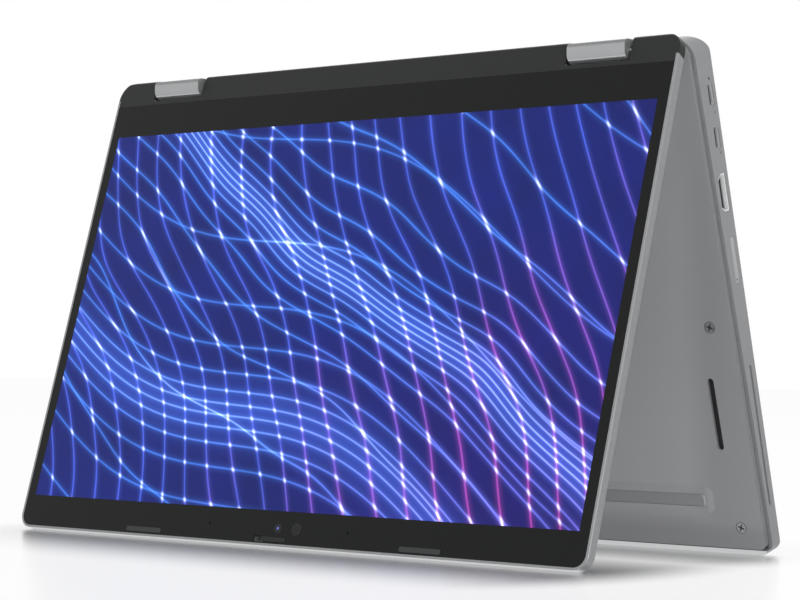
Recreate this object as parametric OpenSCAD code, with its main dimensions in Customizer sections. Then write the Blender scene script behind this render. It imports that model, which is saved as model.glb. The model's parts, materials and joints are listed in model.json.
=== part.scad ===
// Convertible laptop computer, standing as a tent on the free edges of its lid and base.
// Everything is in millimetres. X runs along the hinge, +Z is up and the screen faces -Y.
//
// The model is drawn in three local frames that all start as one when the laptop is closed:
//   base frame: origin on the base-side hinge axis, +Y towards the front edge, +Z out of the keyboard
//   link frame: origin on the base-side hinge axis, +Z towards the lid-side hinge axis
//   lid frame:  origin on the lid-side hinge axis, +Y towards the camera edge, +Z out of the lid's back

/* [Pose] */
// Angle that the lid has opened from closed, as modelled
open_angle = 328.3; // [300:0.1:345]

/* [Display] */
// Width of the lit picture
picture_w = 293.76; // [280:0.01:310]
// Height of the lit picture
picture_h = 165.24; // [155:0.01:175]
// Black border at each side of the picture
side_border = 4.67; // [4:0.01:8]
// Black border between the picture and the hinge strip
hinge_border = 14.86; // [12:0.01:18]
// Black border between the picture and the camera edge
camera_border = 13.3; // [12.5:0.1:16]
// Thickness of the cover glass
glass_t = 0.7; // [0.5:0.05:1]
// Thickness of the display panel behind the glass
panel_t = 1.9; // [1.5:0.1:2.1]

/* [Lid] */
// Metal rim beside the glass at the two sides
side_rim = 1.3; // [1.1:0.1:3]
// Metal rim at the camera edge
camera_rim = 1.0; // [0.9:0.1:2]
// Thickness of the whole lid
lid_t = 4.5; // [4.4:0.1:5]
// Depth of the dark strip over the hinge edge
strip_depth = 11.85; // [10:0.05:13]
// Distance from the lid-side hinge axis to the lid's rear edge
lid_setback = 4.85; // [4.5:0.05:4.95]
// Depth of the lid-side hinge axis below the screen face
lid_axis_depth = 2.4; // [2.3:0.1:2.6]
// How far the hinge strip slopes away from the screen face
strip_fall = 1.0; // [0.5:0.1:1.1]
// Plan radius of the lid's corners at the hinge
lid_hinge_r = 7.5; // [6:0.5:10]
// Plan radius of the lid's corners at the camera edge
lid_camera_r = 6; // [5:0.5:8]
// Skin thickness of the lid's back cover
lid_skin = 0.9; // [0.7:0.1:1]
// Ledge that the glass rests on inside the rim
glass_ledge = 1.0; // [0.8:0.1:1.5]

/* [Base] */
// Thickness of the base at the hinge
base_rear_t = 13.8; // [13.4:0.1:14]
// Thickness of the base at the front edge
base_front_t = 9.7; // [9.5:0.1:11]
// Distance from the base-side hinge axis to the base's rear edge
base_setback = 4.95; // [4.6:0.05:5]
// Height of the keyboard face above the base-side hinge axis
deck_up = 7.3; // [7.2:0.1:7.4]
// Plan radius of the base's rear corners
base_rear_r = 9; // [8:0.5:11]
// Plan radius of the base's front corners
base_front_r = 6; // [5:0.5:9]
// Thickness of the palm rest deck
deck_t = 1.3; // [1:0.1:1.4]
// Thickness of the port walls
wall_t = 1.6; // [1.4:0.1:1.8]
// Thickness of the bottom cover
cover_t = 1.2; // [1:0.1:1.3]
// Height of the front wall above its bevel
front_wall_h = 6.6; // [6:0.1:7.2]
// Radius of the bottom cover's side edges
cover_edge_r = 1.2; // [0.8:0.1:1.4]
// Depth of the seam below the keyboard face at the rear
seam_rear = 11.3; // [10.8:0.1:11.6]
// Depth of the seam below the keyboard face at the front
seam_front = 5.8; // [5.6:0.1:6.4]
// Visible groove between the port wall and the bottom cover
seam_gap = 1.4; // [0.8:0.1:1.5]

/* [Hinges] */
// Space between the keyboard face and the screen face when closed
closed_gap = 0.5; // [0.4:0.05:0.8]
// Distance from the laptop's side to the middle of each hinge
hinge_inset = 38.0; // [36:0.1:44]
// Length of each hinge cover
hinge_len = 27.4; // [26:0.1:31]
// Half thickness of the hinge cover
cap_r = 4.15; // [4:0.05:4.2]
// Radius of the hinge cover's corners at its inner side
cap_corner_r = 2.0; // [1.8:0.1:2.6]
// Wall of the hinge cover
cap_wall = 0.7; // [0.5:0.05:0.9]
// Clearance round the hinge cover where it swings in the notches
notch_gap = 0.22; // [0.2:0.02:0.4]
// Clearance between the hinge cover's ends and the lid's notch
lid_notch_gap = 1.45; // [0.6:0.05:2]
// Clearance between the hinge cover's ends and the base's notch
base_notch_gap = 3.65; // [3:0.05:4]
// Radius of the base-side shaft
base_shaft_r = 1.5; // [1.2:0.05:1.7]
// Radius of the lid-side shaft
lid_shaft_r = 0.85; // [0.75:0.05:0.9]
// Radius of both shafts where they carry their gears
gear_seat_r = 0.7; // [0.6:0.05:0.75]
// Teeth on each hinge gear
gear_teeth = 10; // [8:2:14]
// Width of each hinge gear
gear_w = 4.0; // [2.5:0.1:5]
// Running clearance between a pin and its bore
run_gap = 0.05; // [0.02:0.01:0.08]

/* [Keyboard] */
// Deck left outside the outermost keys at each side
keyboard_margin = 15.6; // [15.4:0.1:17]
// Space between neighbouring keycaps
key_gap = 2.9; // [2:0.1:4]
// Distance from one row of keys to the next
row_pitch = 17.9; // [17.5:0.1:18.3]
// Row spacing of the function keys
function_pitch = 11.4; // [10:0.1:12]
// Corner radius of a keycap
key_r = 1.1; // [0.5:0.1:2]
// Thickness of a keycap
key_t = 1.3; // [1:0.1:1.6]
// How far a key travels
key_travel = 1.2; // [0.8:0.1:1.3]
// How far the keycaps lie below the palm rest
key_drop = 0.2; // [0.1:0.05:0.4]
// Clearance between a keycap and its window
key_window_gap = 0.35; // [0.25:0.05:0.5]
// Distance from the base-side axis to the keyboard's rear edge
keyboard_y = 21.2; // [21:0.1:22]

/* [Touchpad] */
// Width of the touchpad
touchpad_w = 115; // [90:1:125]
// Deck left between the keyboard and the touchpad
touchpad_space = 7.5; // [6:0.1:9]
// Deck left between the touchpad and the front edge
touchpad_front = 7.3; // [6.5:0.1:12]
// Thickness of the touchpad
touchpad_t = 1.1; // [0.8:0.1:1.3]
// Clearance around the touchpad
touchpad_gap = 0.35; // [0.2:0.05:0.6]

/* [Ports] */
// Places of the two type-C ports, from the hinge axis
type_c_y = [18.5, 35.0];
// Place of the video port
video_y = 56.3; // [50:0.1:60]
// Place of the SIM tray's middle
sim_y = 82.8; // [78:0.1:88]
// Length of the SIM tray's face
sim_w = 18.5; // [14:0.1:22]
// Height of the SIM tray's face
sim_h = 2.4; // [2:0.1:3]
// Place of the smart-card slot's middle
card_y = 152.9; // [148:0.1:156]
// Length of the smart-card slot
card_w = 56.8; // [54.5:0.1:60]
// Height of the smart-card slot
card_h = 1.3; // [1.2:0.1:1.8]
// Depth of the type-C ports' middle below the keyboard face
type_c_drop = 4.0; // [3.9:0.1:4.3]
// Place of the type-A port on the other side
type_a_y = 40; // [34:0.1:48]
// Place of the audio jack on the other side
audio_y = 82; // [78:0.1:90]
// Radius of the audio jack's bore
audio_r = 1.8; // [1.75:0.01:1.9]
// Place of the memory-card slot on the other side
memory_card_y = 62; // [58:0.1:68]
// Place of the lock slot on the other side
lock_y = 17; // [14:0.1:22]

/* [Underside] */
// Distance from the laptop's side to the outer cover screws
screw_inset = 10.95; // [10.5:0.05:11.2]
// Place of the middle cover screws from the hinge axis
middle_screw_y = 107.7; // [104:0.1:112]
// Distance from the front edge to the front cover screws
front_screw_inset = 12.1; // [11:0.1:14]
// Radius of a cover screw's head
screw_head_r = 2.1; // [1.8:0.05:2.4]
// Radius of a cover screw's shank
screw_r = 1.0; // [0.8:0.05:1.2]
// Distance from the laptop's side to a speaker slot
speaker_slot_inset = 14.45; // [13:0.05:18]
// Middle of the speaker slot along the base
speaker_slot_y = 142.8; // [138:0.1:148]
// Length of a speaker slot
speaker_slot_l = 29.2; // [20:0.1:34]
// Width of a speaker slot
speaker_slot_w = 2.9; // [2:0.1:4]
// Distance from the laptop's side to the end of the front foot
front_foot_inset = 24.95; // [20:0.05:40]
// Distance from the front edge to the middle of the front foot
front_foot_back = 23.0; // [20:0.1:27]
// Width of the front foot
front_foot_w = 5.1; // [4:0.1:7]
// Height of the raised pad under the front foot
front_pad_h = 0.6; // [0.3:0.1:0.9]
// Height of the front foot above its pad
front_foot_h = 0.8; // [0.5:0.1:1]
// Underside left between the rear foot's end and the hinge notch
rear_foot_space = 8.7; // [6:0.1:30]
// Middle of the rear foot along the base
rear_foot_y = 12.5; // [10:0.1:18]
// Height of the raised pad under the rear foot
rear_pad_h = 0.25; // [0.1:0.05:0.3]
// Height of the rear foot above its pad
rear_foot_h = 0.4; // [0.2:0.05:0.45]

/* [Fan] */
// Space between the fan housing and the hinge notch
fan_space = 2.7; // [2:0.1:6]
// Place of the fan's axis from the hinge axis
fan_y = 44; // [43:0.5:46]
// Radius of the fan rotor
rotor_r = 19; // [16:0.5:20]
// Number of fan blades
fan_blades = 25; // [15:2:31]

/* [Hidden] */
$fn = 48;

lid_half = picture_w / 2 + side_border + side_rim;
lid_reach = strip_depth - lid_setback + hinge_border + picture_h + camera_border + camera_rim;
strip_y = strip_depth - lid_setback;          // where the strip meets the glass
picture_y = strip_y + hinge_border;           // hinge side of the lit picture
lid_back = lid_t - lid_axis_depth;            // height of the lid's back above its axis
lid_screen = -lid_axis_depth;                 // height of the screen face
glass_fit = 0.1;                              // gap between the glass and the rim
glass_half = lid_half - side_rim;
glass_end = lid_reach - camera_rim;
lid_edge_c = 0.6;                             // chamfer round the lid's back
rim_edge_c = 0.25;                            // chamfer round the screen face
skin_in = lid_back - lid_skin;                // inner face of the back cover
glass_in = lid_screen + glass_t;              // inner face of the glass
strip_t = 0.45;
strip_fit = 0.02;                             // clearance between the strip and the cover
strip_wrap_y = strip_y - 3;                   // the strip covers the whole edge up to here
strip_wrap_z = lid_back - 0.4;                // it wraps round the edge up to this height
strip_slant = 1.3;                            // its side end slants by this much

base_half = lid_half;
base_reach = lid_reach;
nose_r = base_rear_t / 2;                     // the rear edge is a half round
nose_y = nose_r - base_setback;
nose_z = deck_up - nose_r;
base_slope = atan((base_rear_t - base_front_t) / (base_reach - nose_y));
front_bevel = base_front_t - front_wall_h;
deck_in = deck_up - deck_t;
deck_c = 0.5;                                 // chamfer round the keyboard face
port_x = base_half - 0.45;                    // outer end of every port shell
seam_slope = atan((seam_rear - seam_front) / (base_reach + base_setback));
lip_y = base_reach - front_bevel - 0.3;       // where the bottom cover ends at the front

axis_gap = deck_up + closed_gap + lid_axis_depth;   // distance between the two hinge axes
half_turn = open_angle / 2;
hinge_x = base_half - hinge_inset;
cap_x0 = hinge_x - hinge_len / 2;
cap_x1 = hinge_x + hinge_len / 2;
cap_swing = (cap_r - cap_corner_r) * sqrt(2) + cap_corner_r;   // reach of its corners
gear_pitch_r = axis_gap / 6;
gear_tip = 0.16 * gear_pitch_r;
gear_root = 0.205 * gear_pitch_r;
plate_w = 1.2;                                // thickness of a hinge carrier plate
end_w = 0.8;                                  // thickness of the hinge cover's end walls
gear_side_gap = 0.2;
plate_a_x = cap_x0 + end_w + 0.5;             // inner carrier plate
gear_x = plate_a_x + plate_w + gear_side_gap; // near face of the gears
plate_b_x = gear_x + gear_w + gear_side_gap;  // middle carrier plate
plate_c_x = cap_x1 - end_w - 0.3 - plate_w;   // outer carrier plate
notch_wall = 0.8;                             // wall left round each hinge notch
knuckle_x0 = cap_x1 + base_notch_gap + notch_wall + 0.3;
knuckle_len = 8.5;
knuckle_x1 = knuckle_x0 + knuckle_len;
notch_in = cap_x0 - base_notch_gap - notch_wall;    // inner face of the inner notch wall

// The laptop stands on one edge of the lid and one edge of the base: both touch the floor.
function turn(p, a) = [p[0] * cos(a) - p[1] * sin(a), p[0] * sin(a) + p[1] * cos(a)];
function lid_to_base(p) = turn([0, axis_gap], half_turn) + turn(p, open_angle);
base_foot = [base_reach, deck_up - front_wall_h];
lid_foot = lid_to_base([lid_reach, lid_back - lid_edge_c]);
foot_line = lid_foot - base_foot;
base_pitch = atan2(-foot_line[1], foot_line[0]) - 180;
axis_z = -turn(base_foot, base_pitch)[1];
far_back = turn([base_reach, deck_up - deck_c], base_pitch)[0];
far_front = turn(lid_to_base([lid_reach, lid_screen + rim_edge_c]), base_pitch)[0];
axis_y = -(far_back + far_front) / 2;

// Keyboard: key widths in units of one pitch, from the user's left (+X) to the right (-X).
function_units = [for (i = [0:13]) 1];
number_units = concat([for (i = [0:12]) 1], [2]);
upper_units = concat([1.5], [for (i = [0:11]) 1], [1.5]);
home_units = concat([1.75], [for (i = [0:10]) 1]);
lower_units = [for (i = [0:9]) 1];
modifier_units = [1, 1, 1, 1];
keyboard_half = base_half - keyboard_margin;
key_pitch = keyboard_half / 7.5;
key_top = deck_up - key_drop;
rows_y = [for (i = [0:4]) keyboard_y + function_pitch + i * row_pitch];
keyboard_end = rows_y[4] + row_pitch;
frame_margin = 1.0;                           // frame left outside the outermost keys
frame_half = keyboard_half + frame_margin - key_gap / 2 + 1.0;
frame_y0 = keyboard_y - frame_margin;
frame_y1 = keyboard_end + frame_margin;
frame_fit = 0.15;                             // gap between the keyboard frame and the deck
frame_t = 1.3;
flange = 1.2;                                 // how far the keyboard frame reaches under the deck
plate_top = 3.0;                              // upper face of the keyboard plate
plate_t = 0.4;
membrane_t = 0.4;
dome_h = key_top - key_t - key_travel - plate_top - membrane_t - 0.05;

touchpad_y = frame_y1 + touchpad_space;
touchpad_l = base_reach - touchpad_front - touchpad_y;

board_t = 1.2;                                // mainboard thickness
board_z = 0.5;                                // lower face of the mainboard
port_z = deck_up - type_c_drop;
tall_port_z = deck_in - 3.5;                  // middle of the video, type-A and audio ports
card_z = deck_up - 3.9;

silver = [0.57, 0.58, 0.585];
dark = [0.14, 0.15, 0.15];
steel = [0.72, 0.73, 0.74];
board_green = [0.10, 0.26, 0.16];

// ---------- frames ----------

module in_base() {
    translate([0, axis_y, axis_z]) rotate([base_pitch, 0, 0]) children();
}

module in_link() {
    in_base() rotate([half_turn, 0, 0]) children();
}

module in_lid() {
    in_link() translate([0, 0, axis_gap]) rotate([half_turn, 0, 0]) children();
}

// ---------- shared shapes ----------

// Extrudes an outline drawn in (Y, Z) from x0 to x1.
module along_x(x0, x1) {
    translate([x0, 0, 0]) rotate([90, 0, 90]) linear_extrude(x1 - x0) children();
}

// Extrudes an outline drawn in (X, Z) from y0 to y1.
module along_y(y0, y1) {
    translate([0, y1, 0]) rotate([90, 0, 0]) linear_extrude(y1 - y0) children();
}

// Extrudes an outline drawn in (X, Y) from z0 to z1.
module along_z(z0, z1) {
    translate([0, 0, z0]) linear_extrude(z1 - z0) children();
}

// A round bar along X.
module bar_x(x0, x1, r, y = 0, z = 0) {
    translate([x0, y, z]) rotate([0, 90, 0]) cylinder(r = r, h = x1 - x0);
}

// A box between two corners.
module block(x0, x1, y0, y1, z0, z1) {
    translate([x0, y0, z0]) cube([x1 - x0, y1 - y0, z1 - z0]);
}

module both_sides() {
    children();
    mirror([1, 0, 0]) children();
}

// A slot with round ends, centred, its length along the outline's first axis.
module obround(len, w) {
    square([len - w, w], center = true);
    for (side = [-1, 1]) translate([side * (len - w) / 2, 0]) circle(w / 2);
}

// A rectangle with round corners, centred.
module round_rect(w, l, r) {
    square([w - 2 * r, l], center = true);
    square([w, l - 2 * r], center = true);
    for (sx = [-1, 1], sy = [-1, 1]) {
        translate([sx * (w / 2 - r), sy * (l / 2 - r)]) circle(r);
    }
}

// A plan outline with one radius at its low-Y corners and another at its high-Y corners.
module plan_outline(half, y0, y1, r0, r1) {
    polygon([
        [-half, y0 + r0], [-half + r0, y0], [half - r0, y0], [half, y0 + r0],
        [half, y1 - r1], [half - r1, y1], [-half + r1, y1], [-half, y1 - r1]
    ]);
    for (side = [-1, 1]) {
        translate([side * (half - r0), y0 + r0]) circle(r0);
        translate([side * (half - r1), y1 - r1]) circle(r1);
    }
}

// A plate with round plan corners and chamfered edges, z0 to z1.
module edged_plate(half, y0, y1, r0, r1, z0, z1, c0, c1) {
    mid = (y0 + y1) / 2;
    for (side = [-1, 1]) {
        translate([side * (half - r0), y0 + r0, 0]) edge_disc(r0, z0, z1, c0, c1);
        translate([side * (half - r1), y1 - r1, 0]) edge_disc(r1, z0, z1, c0, c1);
    }
    along_y(y0 + r0, y1 - r1) polygon([
        [-half + c0, z0], [half - c0, z0], [half, z0 + c0], [half, z1 - c1],
        [half - c1, z1], [-half + c1, z1], [-half, z1 - c1], [-half, z0 + c0]
    ]);
    along_x(-half + r0, half - r0) polygon([
        [mid, z0], [mid, z1], [y0 + c1, z1], [y0, z1 - c1], [y0, z0 + c0], [y0 + c0, z0]
    ]);
    along_x(-half + r1, half - r1) polygon([
        [mid, z1], [mid, z0], [y1 - c0, z0], [y1, z0 + c0], [y1, z1 - c1], [y1 - c1, z1]
    ]);
}

module edge_disc(r, z0, z1, c0, c1) {
    rotate_extrude() polygon([
        [0, z0], [r - c0, z0], [r, z0 + c0], [r, z1 - c1], [r - c1, z1], [0, z1]
    ]);
}

// ---------- lid ----------

camera_y = glass_end - 6.3;                   // line of the cameras and microphones
camera_x = 0.4;
sensor_x = 10.4;
tab_y = glass_end - 1.7;                      // line of the shutter tab and the bumpers
tab_w = 13.4;
tab_l = 2.0;
tab_x = -1.0;
shutter_travel = 4.0;
panel_margin = 5.5;                           // the panel reaches past the picture at the hinge
bumper_x = 75.05;
bumper_w = 20.3;
bumper_l = 2.0;
bumper_proud = 0.3;
bumper_seat = 0.2;
mic_x = 37.5;
mic_r = 0.5;
camera_window_r = 2.0;
sensor_window_r = 2.6;
window_fit = 0.03;
lid_notch_y = cap_swing + notch_gap;
lid_knuckle_r = lid_shaft_r + 0.4;

module lid_shape() {
    edged_plate(lid_half, -lid_setback, lid_reach, lid_hinge_r, lid_camera_r,
        lid_screen, lid_back, rim_edge_c, lid_edge_c);
}

module lid_notches(extra) {
    both_sides() block(cap_x0 - lid_notch_gap - extra, cap_x1 + lid_notch_gap + extra,
        -lid_setback - 1, lid_notch_y + extra, -5, 5);
}

// The wedge in front of the sloping strip, and the bevel on its rear edge.
module strip_wedge(depth) {
    far = -lid_setback - 1;
    fall = strip_fall / (strip_y + lid_setback);
    along_x(-lid_half - 1, lid_half + 1) polygon([
        [strip_y, lid_screen + depth], [far, lid_screen + depth + fall * (strip_y - far)],
        [far, lid_screen - 2], [strip_y, lid_screen - 2]
    ]);
}

// The part of the edge that the strip wraps: its end slants away from the screen face.
module strip_wrap(grow) {
    low = lid_screen - 1;
    top = strip_wrap_z + grow;
    far = -lid_setback - 1;
    slant = strip_slant / (strip_wrap_z - lid_screen);
    along_x(-lid_half - 1, lid_half + 1) polygon([
        [far, low], [strip_wrap_y + grow, low], [strip_wrap_y + grow, lid_screen],
        [strip_wrap_y + grow + slant * (top - lid_screen), top], [far, top]
    ]);
}

module strip_nose() {
    bevel = 0.8;
    low = lid_screen + strip_fall;
    along_x(-lid_half - 1, lid_half + 1) polygon([
        [-lid_setback - 1, low - 2], [-lid_setback + bevel, low - 2],
        [-lid_setback + bevel, low - 0.05], [-lid_setback, low + bevel],
        [-lid_setback - 1, low + bevel]
    ]);
}

module lid_back_cover() {
    color(silver) in_lid() difference() {
        lid_shape();
        // seat of the glass
        along_z(lid_screen - 1, glass_in) plan_outline(glass_half + glass_fit, strip_wrap_y,
            glass_end + glass_fit, 0.5, lid_camera_r - camera_rim);
        // room for the panel and everything behind it
        difference() {
            along_z(lid_screen - 1, skin_in) plan_outline(glass_half - glass_ledge,
                -lid_setback + 1.2, glass_end - glass_ledge, lid_hinge_r - 2, lid_camera_r - 2);
            lid_notches(notch_wall);
        }
        strip_wrap(strip_fit);
        lid_notches(0);
        both_sides() bar_x(cap_x1, knuckle_x0, lid_shaft_r + 0.3);
        // room for the shutter's blade under its tab
        block(tab_x - tab_w / 2 - shutter_travel - 0.4, tab_x + tab_w / 2 + 0.4,
            glass_end - glass_ledge - 1, tab_y + tab_l / 2 + 0.3, glass_in - 0.1, glass_in + 0.8);
        // pocket in the skin for the bracket's knuckle
        both_sides() block(knuckle_x0 - 0.3, knuckle_x1 + 0.3, -lid_knuckle_r - 0.3,
            lid_knuckle_r + 0.3, 0, lid_knuckle_r + 0.05);
    }
}

module hinge_strip() {
    color(dark) in_lid() difference() {
        intersection() {
            lid_shape();
            union() {
                strip_wrap(0);
                block(-glass_half, glass_half, strip_wrap_y - 0.1, strip_y - strip_fit,
                    lid_screen, glass_in - strip_fit);
            }
        }
        strip_wedge(0);
        strip_nose();
        // hollow behind the sloping face, with a wall left round it
        difference() {
            along_z(lid_screen - 1, lid_back) plan_outline(glass_half - glass_ledge - 0.8,
                -lid_setback + 1.4, strip_y + 20, lid_hinge_r - 3, 3);
            strip_wedge(strip_t);
            lid_notches(notch_wall);
        }
        lid_notches(0);
        both_sides() bar_x(cap_x1, knuckle_x0, lid_shaft_r + 0.3);
    }
}

module cover_glass() {
    slot_w = tab_w + shutter_travel + 2 * window_fit + 0.4;
    color(dark) in_lid() difference() {
        along_z(lid_screen, glass_in) plan_outline(glass_half, strip_y, glass_end, 0.4,
            lid_camera_r - camera_rim - glass_fit);
        translate([camera_x, camera_y, 0]) {
            cylinder(r = camera_window_r + window_fit, h = 8, center = true);
        }
        translate([sensor_x, camera_y, 0]) {
            cylinder(r = sensor_window_r + window_fit, h = 8, center = true);
        }
        for (side = [-1, 1]) translate([side * mic_x, camera_y, 0]) {
            cylinder(r = mic_r, h = 8, center = true);
        }
        translate([tab_x - shutter_travel / 2, tab_y, 0]) {
            along_z(-5, 5) obround(slot_w, tab_l + 0.3);
        }
        for (side = [-1, 1]) translate([side * bumper_x, tab_y, 0]) {
            along_z(lid_screen - 1, lid_screen + bumper_seat) {
                round_rect(bumper_w + 0.1, bumper_l + 0.1, 0.7);
            }
        }
    }
}

module display_panel() {
    side_margin = 2.2;
    color([0.20, 0.22, 0.45]) in_lid() block(-picture_w / 2 - side_margin,
        picture_w / 2 + side_margin, picture_y - panel_margin, picture_y + picture_h + 1.2,
        glass_in, glass_in + panel_t);
}

module camera_module() {
    color([0.12, 0.2, 0.14]) in_lid() difference() {
        union() {
            block(-mic_x - 3, mic_x + 3, camera_y - 3, camera_y + 3, 0.35, skin_in);
            for (side = [-1, 1]) translate([side * mic_x - 1.9, camera_y - 1.4, glass_in]) {
                cube([3.8, 2.8, 2.1]);
            }
            translate([camera_x, camera_y, -1.05]) cylinder(r = 2.4, h = 1.5);
            translate([sensor_x, camera_y, -1.65]) cylinder(r = 2.2, h = 2.1);
        }
        translate([camera_x, camera_y, -2]) cylinder(r = 1.5, h = 1.4);
        for (side = [-1, 1]) translate([side * mic_x, camera_y, glass_in - 1]) {
            cylinder(r = 0.3, h = 1.6);
        }
    }
}

module camera_windows() {
    color([0.05, 0.06, 0.10]) in_lid() {
        translate([camera_x, camera_y, lid_screen]) cylinder(r = camera_window_r, h = glass_t);
        translate([sensor_x, camera_y, lid_screen]) cylinder(r = sensor_window_r, h = glass_t);
    }
}

module camera_shutter() {
    blade_z = glass_in + 0.06;
    blade_t = 0.3;
    color([0.2, 0.21, 0.21]) in_lid() difference() {
        union() {
            translate([tab_x, tab_y, 0]) {
                along_z(lid_screen - 0.2, blade_z + blade_t) round_rect(tab_w, tab_l, 0.9);
            }
            block(tab_x - tab_w / 2 + 1, tab_x + tab_w / 2 + 1.4, camera_y - 2.6, tab_y,
                blade_z, blade_z + blade_t);
        }
        translate([camera_x, camera_y, blade_z - 1]) cylinder(r = 1.7, h = 3);
    }
}

module lid_bumpers() {
    color([0.22, 0.23, 0.23]) in_lid() for (side = [-1, 1]) {
        translate([side * bumper_x, tab_y, 0]) {
            along_z(lid_screen - bumper_proud, lid_screen + bumper_seat) {
                round_rect(bumper_w, bumper_l, 0.65);
            }
        }
    }
}

module lid_hinge_brackets() {
    arm_y = picture_y - panel_margin - 0.4;
    arm_t = 0.8;
    rivet_r = 1.5;
    color(steel) in_lid() both_sides() difference() {
        union() {
            bar_x(knuckle_x0, knuckle_x1, lid_knuckle_r);
            block(knuckle_x0, knuckle_x1 + 4, 0, arm_y, skin_in - arm_t, skin_in);
            block(knuckle_x0, knuckle_x1, -0.2, 2.4, 0.2, skin_in);
            // screw heads, one with the bracket
            for (y = [strip_y, arm_y - 2.2], x = [knuckle_x0 + 2.5, knuckle_x1 + 1.5]) {
                translate([x, y, skin_in - arm_t - 0.5]) cylinder(r = rivet_r, h = 0.6);
            }
        }
        bar_x(knuckle_x0 - 1, knuckle_x1 + 1, lid_shaft_r + 0.01);
    }
}

module display_cable() {
    reach = picture_y + picture_h * 0.45;
    x0 = notch_in - 26.7;
    cable_w = 12;
    cable_t = 0.2;
    plug_t = 0.6;
    color([0.25, 0.2, 0.12]) in_lid() {
        block(x0, x0 + cable_w, 8, reach, skin_in - cable_t, skin_in);
        block(x0, notch_in - 6.7, 2.5, 8, skin_in - cable_t, skin_in);
        block(x0 - 4, x0 + cable_w + 4, reach, reach + 8, skin_in - plug_t, skin_in);
    }
}

module antennas() {
    antenna_x = 68;
    antenna_w = 48;
    antenna_l = 4.5;
    color([0.75, 0.62, 0.3]) in_lid() both_sides() {
        block(antenna_x - antenna_w / 2, antenna_x + antenna_w / 2, glass_end - 2 * antenna_l,
            glass_end - antenna_l, skin_in - 0.5, skin_in);
    }
}

// ---------- hinges ----------

// A stadium round the two hinge axes, drawn in (Y, Z) of the link frame.
module stadium(r) {
    circle(r);
    translate([0, axis_gap]) circle(r);
    translate([-r, 0]) square([2 * r, axis_gap]);
}

// Section of a hinge cover: round where it faces out on the closed laptop, and square with
// rounded corners where it turns outwards when the laptop stands as a tent.
module cover_section(r, corner_r) {
    flat = r - corner_r;
    stadium(r);
    translate([0, -r]) square([flat, axis_gap + 2 * r]);
    translate([0, -flat]) square([r, axis_gap + 2 * flat]);
    for (z = [-flat, axis_gap + flat]) translate([flat, z]) circle(corner_r);
}

module hinge_covers() {
    color([0.66, 0.67, 0.68]) in_link() both_sides() difference() {
        along_x(cap_x0, cap_x1) cover_section(cap_r, cap_corner_r);
        along_x(cap_x0 + end_w, cap_x1 - end_w) {
            cover_section(cap_r - cap_wall, cap_corner_r - cap_wall);
        }
        bar_x(cap_x1 - 2, cap_x1 + 1, base_shaft_r + 0.2);
        bar_x(cap_x1 - 2, cap_x1 + 1, lid_shaft_r + 0.2, 0, axis_gap);
    }
}

module hinge_carriers() {
    plate_r = cap_r - cap_wall - 0.04;
    pin_r = 0.55;
    color(steel) in_link() both_sides() {
        difference() {
            union() {
                along_x(plate_a_x, plate_a_x + plate_w) stadium(plate_r);
                for (i = [1, 2]) bar_x(plate_a_x, plate_b_x, pin_r, 0, 2 * i * gear_pitch_r);
            }
            for (i = [0, 3]) {
                bar_x(plate_a_x - 1, gear_x, gear_seat_r + run_gap, 0, 2 * i * gear_pitch_r);
            }
        }
        for (x = [plate_b_x, plate_c_x]) difference() {
            along_x(x, x + plate_w) stadium(plate_r);
            bar_x(x - 1, x + plate_w + 1, base_shaft_r + run_gap);
            bar_x(x - 1, x + plate_w + 1, lid_shaft_r + run_gap, 0, axis_gap);
        }
    }
}

module friction_sleeves() {
    outer_r = 3.0;
    color([0.55, 0.48, 0.30]) in_link() both_sides() {
        for (end = [[0, base_shaft_r], [axis_gap, lid_shaft_r]]) difference() {
            bar_x(plate_b_x + plate_w + 0.3, plate_c_x - 0.3, outer_r, 0, end[0]);
            bar_x(plate_b_x, plate_c_x + 1, end[1] + run_gap, 0, end[0]);
            block(plate_b_x, plate_c_x + 1, outer_r - 1.2, outer_r + 1,
                end[0] - 0.3, end[0] + 0.3);
        }
    }
}

// Tooth outline: root, pitch and tip half-widths are shares of the tooth pitch.
module gear_outline() {
    pitch_a = 360 / gear_teeth;
    polygon([
        for (i = [0:gear_teeth - 1], p = [[-gear_root, -0.26], [0, -0.205], [gear_tip, -0.095],
            [gear_tip, 0.095], [0, 0.205], [-gear_root, 0.26]])
            (gear_pitch_r + p[0]) * [cos((i + p[1]) * pitch_a), sin((i + p[1]) * pitch_a)]
    ]);
}

// One gear of the train of four, each on its own axis; the odd ones are half a tooth round.
module train_gear(i, bore) {
    phase = i % 2 == 0 ? 90 : 90 + 180 / gear_teeth;
    translate([0, 0, 2 * i * gear_pitch_r]) difference() {
        along_x(gear_x, gear_x + gear_w) rotate(phase) gear_outline();
        bar_x(gear_x - 1, gear_x + gear_w + 1, bore);
    }
}

module base_shaft_gears() {
    color([0.8, 0.7, 0.45]) in_link() both_sides() train_gear(0, gear_seat_r + 0.01);
}

module idler_gears_base_side() {
    color([0.8, 0.7, 0.45]) in_link() both_sides() train_gear(1, 0.55 + run_gap);
}

module idler_gears_lid_side() {
    color([0.8, 0.7, 0.45]) in_link() both_sides() train_gear(2, 0.55 + run_gap);
}

module lid_shaft_gears() {
    color([0.8, 0.7, 0.45]) in_link() both_sides() train_gear(3, gear_seat_r + 0.01);
}

module base_hinge_shafts() {
    color(steel) in_base() both_sides() {
        bar_x(plate_a_x + 0.1, plate_b_x - 0.1, gear_seat_r);
        bar_x(plate_b_x - 0.15, knuckle_x1, base_shaft_r);
    }
}

module lid_hinge_shafts() {
    color(steel) in_lid() both_sides() {
        bar_x(plate_a_x + 0.1, plate_b_x - 0.1, gear_seat_r);
        bar_x(plate_b_x - 0.15, knuckle_x1, lid_shaft_r);
    }
}

base_bracket_y = 18;
bracket_screw_y = [7, 15];
bracket_t = 1.2;
base_knuckle_r = 2.8;

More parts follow.
